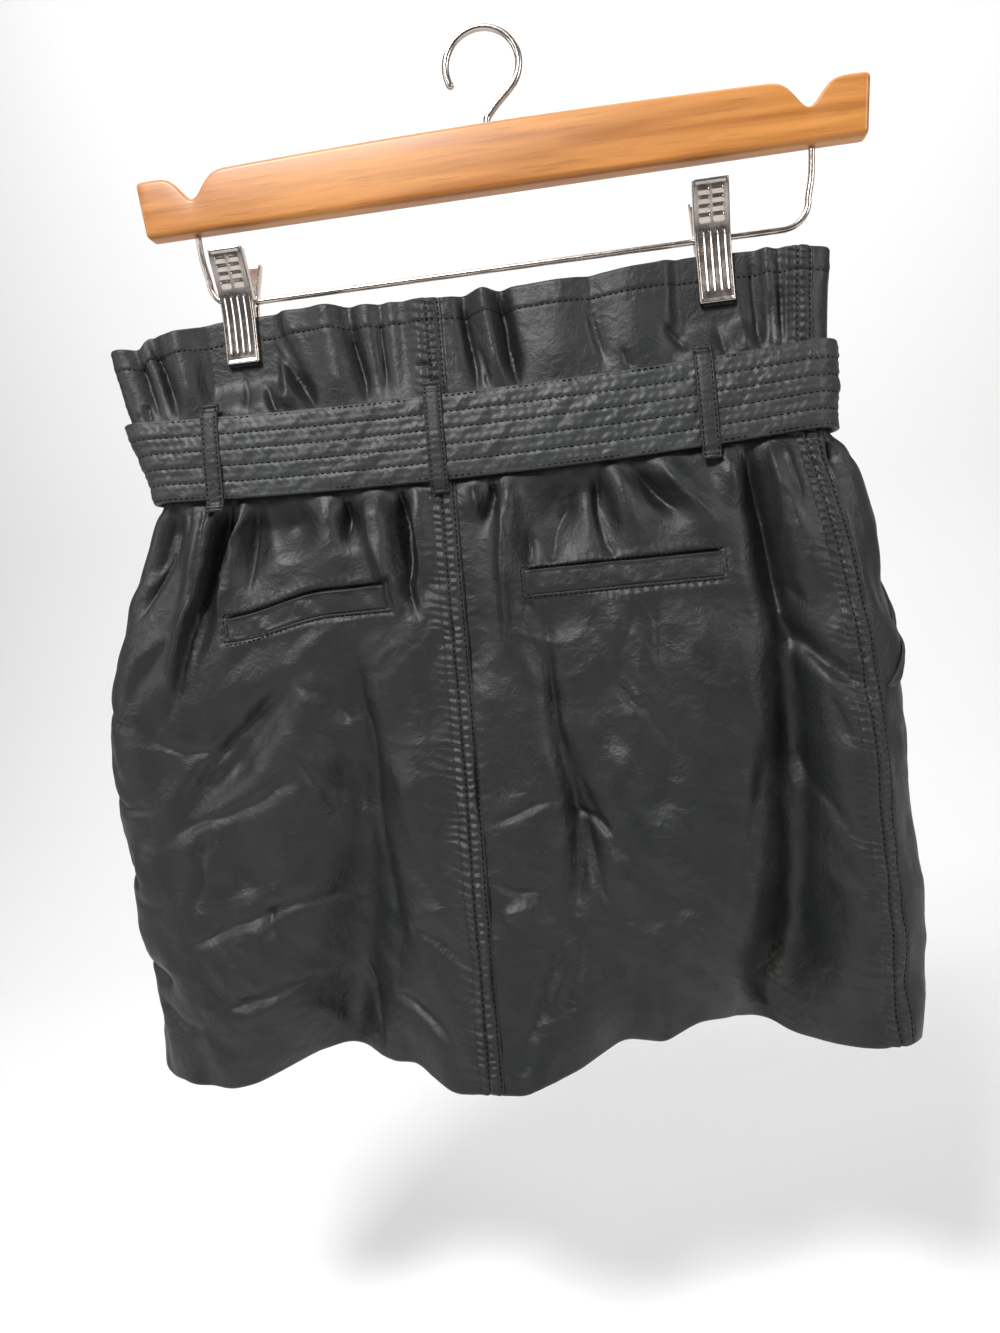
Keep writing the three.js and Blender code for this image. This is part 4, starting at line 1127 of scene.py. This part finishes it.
# The belt.
BELT_ROWS = (1.6, 10.1, 18.9, 27.6, 36.3, 44.4)
BELT_EDGE, BELT_PITCH = 1.4, 4.9
BELT_RIPPLES = [Ripple(17, 15, 0.45, 0, 91), Ripple(6, 8, 0.7, 0.8, 92)]


def belt_points(turn, down, out):
    """A point over the belt's path. turn is the share of the way round, and passes 1 on the lap."""
    turn, down = alike(turn, down)
    lap = WAIST.girth * 1.5 + LAP_START
    rise = LAP_RISE * smooth(lap - LAP_RAMP, lap - 5, turn * WAIST.girth)
    v = BELT_TOP + down
    section = Section(v)
    at, back, front = sides(section, turn * section.girth)
    x, y = section.point(at, BELT_CLEAR + rise + bow_height(back, front, v) + out)[:2]
    return np.stack([CENTRE_BACK_X + x, y, TOP_Z - v - sag_at(section, at)], -1)


def belt_relief(q, down):
    """The belt's sewing and its soft unevenness, over its flat outer face."""
    height = ripples(BELT_RIPPLES, q, down)
    for i, row in enumerate(BELT_ROWS):
        away = down - row
        height = height - 0.45 * bump(away, 0.8)
        for side, slant in ((-1, 0.5), (1, -0.4)):
            ridge = puckers(q + slant * away, BELT_PITCH, 93 + 2 * i)
            height = height + 0.75 * ridge * bump(away - 2.3 * side, 1.7)
    return height


def belt():
    start, end = WAIST.girth / 2 + LAP_START, WAIST.girth * 1.5 + LAP_END
    q = spaced(start, end, 1.15)
    down = spaced(BELT_EDGE, BELT_WIDTH - BELT_EDGE, 0.75)
    turns = q / WAIST.girth
    rolled = arc((BELT_EDGE, BELT_THICK - BELT_EDGE), BELT_EDGE, 180, 90, 4)[:-1]
    profile = list(rolled)
    for d in down:
        edge = smooth(0, 3, min(d - BELT_EDGE, BELT_WIDTH - BELT_EDGE - d))
        profile.append((d, BELT_THICK + (0.3 + 0.7 * edge) * belt_relief(q, d + 0 * q)))
    profile += [(BELT_WIDTH - d, out) for d, out in rolled[::-1]]
    outer = np.stack([belt_points(turns, d, out) for d, out in profile])
    beside = np.linspace(0, BELT_EDGE, 4)[:-1]
    downs = np.concatenate([beside, down, BELT_WIDTH - beside[::-1]])
    under = [0.6 * (1 - smooth(0, BELT_EDGE, min(d, BELT_WIDTH - d))) for d in downs]
    inner = np.stack([belt_points(turns, d, u) for d, u in zip(downs, under)])
    piece = shell("waist_belt", outer, inner, BELT_LEATHER, INNER_EVERY)
    stand_for(piece, "belt")
    rows = []
    path = np.arange(start + 1, end - 1, 0.9)
    for row in BELT_ROWS:
        out = BELT_THICK + 0.08 + belt_relief(path, row + 0 * path)
        points = belt_points(path / WAIST.girth, row, out)
        rows.append(row_of_stitches(points, path_normals(points), pitch=3.3, length=2.4))
    return piece, stitches("belt_stitches", rows)


def path_normals(points):
    """Level outward normals along a path that runs round the skirt by +p."""
    across = np.gradient(points, axis=0)
    return unit(np.stack([across[:, 1], -across[:, 0], 0 * across[:, 0]], -1))


# The belt loops.
LOOP_ROW, LOOP_BED, LOOP_CLEAR, LOOP_FOLD, LOOP_HALF = 1.4, 0.4, 0.4, 6.0, LOOP_WIDTH / 2
LOOP_BARS = (-LOOP_BEYOND + 2.2, BELT_WIDTH + LOOP_BEYOND - 2.2)


def loop_depths(p, lapped, downs):
    """How far a loop's underside stands from the middle plane at each height along it."""
    turn = p / WAIST.girth
    level = np.clip(downs, 0, BELT_WIDTH)
    out = BELT_THICK + (LAP_RISE if lapped else 0) + LOOP_CLEAR
    over = np.abs(belt_points(turn % 1, level, out)[:, 1])
    sag = sag_at(WAIST, p)
    across, shift = np.meshgrid(np.arange(-2, 3) * LOOP_WIDTH / 3, np.arange(-4, 5, 2))
    bed = []
    for down in downs:
        v = BELT_TOP + sag + down + shift
        bed.append(np.abs(cloth(turn * Section(v).girth + across, v)[..., 1]).max())
    bed = np.array(bed) + LOOP_BED
    share = within(downs, (-3.5, -0.6), (BELT_WIDTH + 0.6, BELT_WIDTH + 3.5))
    depths = bed + (np.maximum(over, bed) - bed) * share
    weights = bump(np.arange(-4, 5), 2.0)
    padded = np.pad(depths, 4, mode="edge")
    return np.convolve(padded, weights / weights.sum(), mode="valid")


def loop_face(a, down):
    """How far a loop's face stands out: its folded upper end, its thin edges and its sewing."""
    edge = LOOP_HALF - np.abs(a)
    ends = np.minimum(down + LOOP_BEYOND, BELT_WIDTH + LOOP_BEYOND - down)
    fold = 0.7 * (1 - smooth(LOOP_FOLD - 0.6, LOOP_FOLD + 0.2, down + LOOP_BEYOND))
    out = LOOP_THICK * (0.35 + 0.65 * smooth(-0.1, 0.9, edge))
    out = out * (0.4 + 0.6 * smooth(-0.1, 0.9, ends)) + fold
    out = out + 0.22 * smooth(2, 3.4, edge) - 0.4 * bump(edge - LOOP_ROW, 0.55)
    out = out + 0.12 * puckers(down, 4.2, 95) * smooth(0.3, 2, edge)
    return out - 0.35 * sum(bump(down - bar, 0.6) for bar in LOOP_BARS)


def belt_loop(name, p, lapped):
    """A loop's piece. All loops share one piece of thread, so the rows for it are given back."""
    downs = np.arange(-LOOP_BEYOND, BELT_WIDTH + LOOP_BEYOND + 0.1, 0.5)
    side = np.sign(WAIST.point(p)[3])
    top = TOP_Z - BELT_TOP - sag_at(WAIST, p)
    depths = loop_depths(p, lapped, downs)
    middle = belt_points((p / WAIST.girth) % 1, BELT_WIDTH / 2, 0.0)[0]

    def at(a, down, out):
        depth = np.interp(down, downs, depths)
        return np.stack([middle + side * a, side * (depth + out), top - down], -1)

    half = LOOP_HALF
    across = spaced(-half, half, 0.5, bands=[(-half, -half + 1, 0.25), (half - 1, half, 0.25)])
    a, down = np.meshgrid(across[::-int(side)], downs)
    piece = shell("carrier_" + name, at(a, down, loop_face(a, down)), at(a, down, 0), LEATHER)
    stand_for(piece, name)
    bar_line = np.arange(-half + 1, half - 0.9, 0.4)
    lines = [(a, downs, 0.08, 2.8, 2.0) for a in (-half + LOOP_ROW, half - LOOP_ROW)]
    lines += [(bar_line, bar, 0.1, 1.5, 1.2) for bar in LOOP_BARS]
    rows = []
    for a, down, lift, pitch, length in lines:
        a, down = alike(a, down)
        points = at(a, down, loop_face(a, down) + lift)
        normals = np.tile([0, side, 0.0], (len(points), 1))
        rows.append(row_of_stitches(points, normals, pitch=pitch, length=length))
    return rows


# The hanger.
def tube(points, radius, sides=20):
    """Points and faces of a round rod along a path, with rounded ends."""
    points = np.asarray(points, float)
    tangent = unit(np.gradient(points, axis=0))
    path, ways, sizes = list(points), list(tangent), [radius] * len(points)
    for turn in (30, 60, 85):
        a = math.radians(turn)
        reach, size = radius * math.sin(a), radius * math.cos(a)
        path = [points[0] - tangent[0] * reach] + path + [points[-1] + tangent[-1] * reach]
        ways = [tangent[0]] + ways + [tangent[-1]]
        sizes = [size] + sizes + [size]
    side = unit(np.cross(ways[0], [0, 0, 1.0] if abs(ways[0][2]) < 0.9 else [0, 1.0, 0]))
    rings = []
    for centre, way, size in zip(path, ways, sizes):
        side = unit(side - way * np.dot(side, way))
        up = np.cross(way, side)
        turns = 2 * math.pi * np.arange(sides) / sides
        rings.append(centre + size * (np.cos(turns)[:, None] * side + np.sin(turns)[:, None] * up))
    return np.concatenate(rings), ring_faces(len(rings), sides)


# Which knots' times each round of a Catmull-Rom blend runs between.
BLENDS = [[(0, 1), (1, 2), (2, 3)], [(0, 2), (1, 3)], [(1, 2)]]


def smooth_path(corners, count):
    """A smooth path through corner points, by a centripetal Catmull-Rom curve."""
    knots = np.array(corners, float)
    knots = np.concatenate([[2 * knots[0] - knots[1]], knots, [2 * knots[-1] - knots[-2]]])
    gaps = np.sqrt(np.linalg.norm(np.diff(knots, axis=0), axis=1))
    times = np.concatenate([[0], np.cumsum(gaps)])
    path = []
    for i in range(1, len(knots) - 2):
        inside = max(2, int(count * np.linalg.norm(knots[i + 1] - knots[i])))
        for t in np.linspace(times[i], times[i + 1], inside, endpoint=False):
            near, s = knots[i - 1:i + 3], times[i - 1:i + 3]
            for spans in BLENDS:
                near = [a + (b - a) * (t - s[low]) / (s[high] - s[low])
                        for a, b, (low, high) in zip(near, near[1:], spans)]
            path.append(near[0])
    return np.array(path + [knots[-2]])


def add_tube(name, path, radius, material, **options):
    points, faces = tube(path, radius, **options)
    return make_mesh(name, points, faces, material)


def hook():
    radius = HOOK_INNER + HOOK_WIRE / 2
    bend = np.array([(x, 0, z) for x, z in arc((0, -HOOK_INNER), radius, HOOK_TIP, HOOK_TURN, 70)])
    foot = ARM_TOP + SEAM_GAP
    tail = smooth_path([bend[-6], bend[-1], (4, 0, foot + 8), (0, 0, foot + 3), (0, 0, foot)], 1.2)
    tail = tail[np.linalg.norm(tail - bend[-1], axis=1).argmin() + 1:]
    piece = add_tube("steel_hook", np.concatenate([bend, tail]), HOOK_WIRE / 2, CHROME, sides=24)
    stand_for(piece, "hanger_hook")


def bar():
    top, z, half, corner = ARM_BOTTOM - SEAM_GAP, BAR_Z, BAR_HALF, BAR_CORNER
    bend = arc((half - corner, z + corner), corner, 0, -90, 14)
    upright = [(BAR_TOP_HALF, top), (BAR_TOP_HALF - 1.5, top - 15)]
    side = [(x, 0, height) for x, height in upright + bend]
    right = [(-x, 0, height) for x, _, height in side]
    middle = [(x, 0, z) for x in (-110, -55, 0, 55, 110)]
    path = smooth_path(right + middle + side[::-1], 0.5)
    piece = add_tube("steel_bar", path, BAR_WIRE / 2, CHROME, sides=20)
    stand_for(piece, "hanger_bar")


def arm_stations():
    """Where the arm's sections stand, and how far each is drawn in at the rounded ends."""
    near_notch = np.linspace(NOTCH_X - 26, NOTCH_X + 26, 70)
    inner = ARM_HALF - ARM_ROUND
    length = np.unique(np.concatenate([np.linspace(-inner, inner, 120), near_notch, -near_notch]))
    end = [(-inner - ARM_ROUND * math.sin(turn), ARM_ROUND * (1 - math.cos(turn)))
           for turn in np.radians([84, 66, 48, 30, 14])]
    middle = [(x, 0.0) for x in length if abs(x) <= inner]
    return end + middle + [(-x, inset) for x, inset in end[::-1]]


def arm_top(x):
    """The height of the arm's upper edge: crowned, with a curved notch near each end."""
    level = math.cos(math.pi / 2 * min(1, abs(x) / ARM_HALF))
    crown = ARM_END_TOP + (ARM_TOP - ARM_END_TOP) * level
    return crown - NOTCH_DEPTH * float(bump(abs(x) - NOTCH_X, NOTCH_HALF))


def arm():
    """The wooden arm, with rounded edges and ends that lean in towards the foot."""
    rings = []
    for x, inset in arm_stations():
        top, foot, half = arm_top(x) - inset, ARM_BOTTOM + inset, ARM_THICK / 2 - inset
        r = max(ARM_ROUND - inset, 0.2)
        corners = [(half - r, top - r), (-half + r, top - r), (-half + r, foot + r),
                   (half - r, foot + r)]
        ring = []
        for k, corner in enumerate(corners):
            for y, z in arc(corner, r, 90 * k, 90 * k + 90, 7):
                lean = ARM_LEAN * float(smooth(150, ARM_HALF, abs(x)))
                lean = lean * (ARM_TOP - z) / (ARM_TOP - ARM_BOTTOM)
                ring.append((x - math.copysign(lean, x), y, z))
        rings.append(ring)
    points = np.array(rings).reshape(-1, 3)
    piece = make_mesh("wooden_arm", points, ring_faces(len(rings), len(rings[0])), WOOD)
    stand_for(piece, "hanger_arm")


# Ribs of the clip plates: two columns at the grip, upright flutes on the jaw, and a raised rim.
GRIP_COLUMNS, GRIP_RIBS = (-3.6, 3.6), (8.5, 12.3, 16.1, 19.9)
FLUTES, FLUTE_TOP, FLUTE_FOOT = (-5.4, -1.8, 1.8, 5.4), 3.0, -29.5


def plate_relief(x, z):
    half = PLATE_WIDTH / 2
    edge = np.minimum(half - np.abs(x), np.minimum(25 - z, z + 34))
    height = 0.45 * (1 - smooth(1.1, 1.9, edge))
    for cx in GRIP_COLUMNS:
        for cz in GRIP_RIBS:
            across = 1 - smooth(2.1, 3.0, np.abs(x - cx))
            height = height + 0.85 * across * bump(z - cz, 1.15)
    for cx in FLUTES:
        along = within(z, (FLUTE_FOOT, FLUTE_FOOT + 1.6), (FLUTE_TOP - 1.6, FLUTE_TOP))
        height = height + 0.7 * along * bump(x - cx, 0.95)
    return height


def rounded_box(name, centre, size, radius, material):
    """A box with rounded edges."""
    half = np.array(size) / 2
    count = 15
    points, faces = [], []
    for axis in range(3):
        for sign in (-1, 1):
            a, b = np.meshgrid(np.linspace(-1, 1, count), np.linspace(-1, 1, count))
            flat = np.zeros((count, count, 3))
            flat[..., axis] = sign
            flat[..., (axis + 1) % 3] = np.sin(a * math.pi / 2)
            flat[..., (axis + 2) % 3] = np.sin(b * math.pi / 2)
            box_point = flat * half
            core = np.clip(box_point, -(half - radius), half - radius)
            away = box_point - core
            size_away = np.linalg.norm(away, axis=-1, keepdims=True)
            point = core + radius * away / np.maximum(size_away, 1e-6)
            start = len(points) * count * count
            points.append(point.reshape(-1, 3))
            faces.append(grid_faces(count, count, start, flip=sign > 0))
    points = np.concatenate(points) + np.array(centre)
    piece = make_mesh(name, points, np.concatenate(faces).tolist(), material)
    merge = piece.modifiers.new("merge", "WELD")
    merge.merge_threshold = 0.02 * MM
    return piece


def plate_sheet(heights, inset):
    """A clip plate's face with its two bent flanges, as rows of points, moved in by inset."""
    rows = []
    w, r = PLATE_WIDTH / 2 - inset, max(PLATE_BEND - inset, 0.35)
    for z, face in zip(heights, through([(z, y) for z, y in PLATE_FACE], heights)):
        out = face + PLATE_SHEET - inset
        lip = min(max(face - PLATE_FLANGE, BAR_CLEAR), out - r - 0.1)
        flange = np.linspace(lip, out - r, 5)
        profile = [(-w, y) for y in flange[:-1]] + arc((-w + r, out - r), r, 180, 90, 5)
        profile += [(x, out) for x in np.linspace(-w + r, w - r, 42)[1:-1]]
        profile += arc((w - r, out - r), r, 90, 0, 5) + [(w, y) for y in flange[-2::-1]]
        rows.append([(x, y, z) for x, y in profile])
    return np.array(rows)


def clip_half(name, label, side, clip_x):
    """One plate of a clip with its rubber pad. side is -1 at the back and 1 at the front."""
    heights = np.linspace(PLATE_FACE[0][0], PLATE_FACE[-1][0], 88)
    outer, inner = plate_sheet(heights, 0.0), plate_sheet(heights, PLATE_SHEET)
    on_face = outer[..., 1] > outer[..., 1].max(1, keepdims=True) - 0.4
    outer[..., 1] += on_face * plate_relief(outer[..., 0], outer[..., 2])
    for grid in (outer, inner):
        grid[..., 0] = clip_x - side * grid[..., 0]
        grid[..., 1] *= side
        grid[..., 2] += BAR_Z
    plate = shell(f"{name}_plate_{label}", outer, inner, CHROME)
    stand_for(plate, f"{name}_{label}")
    pad_in, pad_out = WALL + SEAM_GAP / 2 + 0.3, PLATE_FACE[-1][1] - 0.3
    centre = (clip_x, side * (pad_in + pad_out) / 2, BAR_Z + (PAD_TOP + PAD_BOTTOM) / 2)
    size = (PAD_WIDTH, pad_out - pad_in, PAD_TOP - PAD_BOTTOM)
    pad = rounded_box(f"{name}_rubber_{label}", centre, size, 0.6, RUBBER)
    stand_for(pad, f"{name}_pad_{label}")


def clip(name, clip_x):
    clip_half(name, "back", -1, clip_x)
    clip_half(name, "front", 1, clip_x)
    t = np.linspace(0, 1, SPRING_TURNS * 20)
    angle = 2 * math.pi * SPRING_TURNS * t
    y, z = SPRING_RADIUS * np.cos(angle), BAR_Z + SPRING_RADIUS * np.sin(angle)
    coil = np.stack([clip_x + SPRING_LENGTH * (t - 0.5), y, z], -1)
    spring = add_tube(f"{name}_coil", coil, SPRING_WIRE / 2, CHROME, sides=10)
    stand_for(spring, f"{name}_spring")


# Build everything.
SEAMS = {
    "centre_back": ("back_left", lambda s: 0 * s.seam, -1),
    "left": ("back_left", lambda s: s.left_seam, 1),
    "right": ("back_right", lambda s: s.seam, -1),
}
body_rows = {name: [hem_row(name)] for name in PANELS}
panels = {name: skirt_panel(name) for name in PANELS}
pieces_on = {name: [] for name in PANELS}
for name, (panel, edge, inward) in SEAMS.items():
    pieces_on[panel].append(seam_strip(name, edge, inward))
    body_rows[panel] += seam_rows(edge, inward)
for name, (low, high) in WELTS.items():
    side = "back_left" if low < 0 else "back_right"
    pieces_on[side].append(welt(name))
    body_rows[side] += list(welt_rows(name))
for name in MOUTH_SIDES:
    pieces_on["front"].append(pocket_mouth(name))
    body_rows["front"].append(mouth_row(name))
for name, rows in body_rows.items():
    pieces_on[name].append(stitches("stitches_" + name, rows))
belt_piece, belt_thread = belt()
loop_rows = []
for name, p in BACK_LOOPS.items():
    loop_rows += belt_loop(name, p % WAIST.girth, False)
for name, at in FRONT_LOOPS.items():
    loop_rows += belt_loop(name, WAIST.girth / 2 + at, LAP_START < at < LAP_END)
stitches("loop_stitches", loop_rows)
hook()
arm()
bar()
for name, x in CLIPS.items():
    clip(name, x)

# Each panel's pieces as a list; nothing is kept of it.
for name, piece in panels.items():
    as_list(pieces_on[name])


# The studio: a pale floor that sweeps up behind, soft lights and the photo's camera.
def backdrop():
    floor_z, back_y, half, bend = -760.0, 1500.0, 4200.0, 700.0
    sweep = arc((back_y - bend, floor_z + bend), bend, -90, 0, 24)
    profile = [(-1000.0, floor_z), (back_y - bend, floor_z), *sweep, (back_y, 3600.0)]
    points = [(x, y, z) for y, z in profile for x in (-half, half)]
    faces = [[2 * i, 2 * i + 1, 2 * i + 3, 2 * i + 2] for i in range(len(profile) - 1)]
    graph = Graph("backdrop")
    colour = graph.blend(graph.noise(1.5, 2), *BACKDROP_TONES)
    graph.give(Base_Color=colour, Roughness=BACKDROP_ROUGH)
    mesh_object("studio_backdrop", points, faces, graph.material)


def area_light(name, place, aim, size, power):
    lamp = bpy.data.lights.new(name, "AREA")
    lamp.shape, lamp.size, lamp.size_y = "RECTANGLE", size[0], size[1]
    lamp.energy = power
    light = new_object(name, lamp)
    light.location = place
    light.rotation_euler = (Vector(aim) - Vector(place)).to_track_quat("-Z", "Y").to_euler()


def camera():
    yaw, pitch, roll = (math.radians(angle) for angle in (YAW, PITCH, ROLL))
    level = math.cos(pitch)
    back = Vector((math.sin(yaw) * level, -math.cos(yaw) * level, math.sin(pitch)))
    right = (-back).cross(Vector((0, 0, 1))).normalized()
    up = right.cross(-back)
    c, s = math.cos(roll), math.sin(roll)
    right, up = right * c - up * s, up * c + right * s
    lens = bpy.data.cameras.new("camera")
    lens.sensor_width = 36.0
    lens.lens = FOCAL_PX * lens.sensor_width / IMAGE_H
    lens.clip_start, lens.clip_end = 0.01, 20
    eye = new_object("camera", lens)
    turn = Matrix((right, up, back)).transposed().to_4x4()
    eye.matrix_world = Matrix.Translation((Vector(AIM) + back * DISTANCE) * MM) @ turn
    bpy.context.scene.camera = eye


# Lights: name, place, aim and size in metres, and power in watts.
MIDDLE, BACK_WALL = (-0.02, 0.0, -0.35), (0.0, 1.35, -0.3)
LIGHTS = [
    ("key", (-0.4, -1.0, 0.85), MIDDLE, (0.5, 0.4), 30),
    ("side", (-1.35, -0.5, 0.1), MIDDLE, (0.35, 0.8), 5),
    ("fill", (1.35, -0.75, 0.25), MIDDLE, (0.35, 0.8), 10.5),
    ("back_wall", (0.0, 0.5, 1.5), BACK_WALL, (2.6, 1.0), 30),
]
WORLD_STRENGTH = 0.1

backdrop()
for light in LIGHTS:
    area_light(*light)
world = bpy.data.worlds.new("studio")
world.use_nodes = True
world.node_tree.nodes["Background"].inputs["Color"].default_value = (1, 1, 1, 1)
world.node_tree.nodes["Background"].inputs["Strength"].default_value = WORLD_STRENGTH
bpy.context.scene.world = world
bpy.context.scene.view_settings.view_transform = "Standard"
camera()
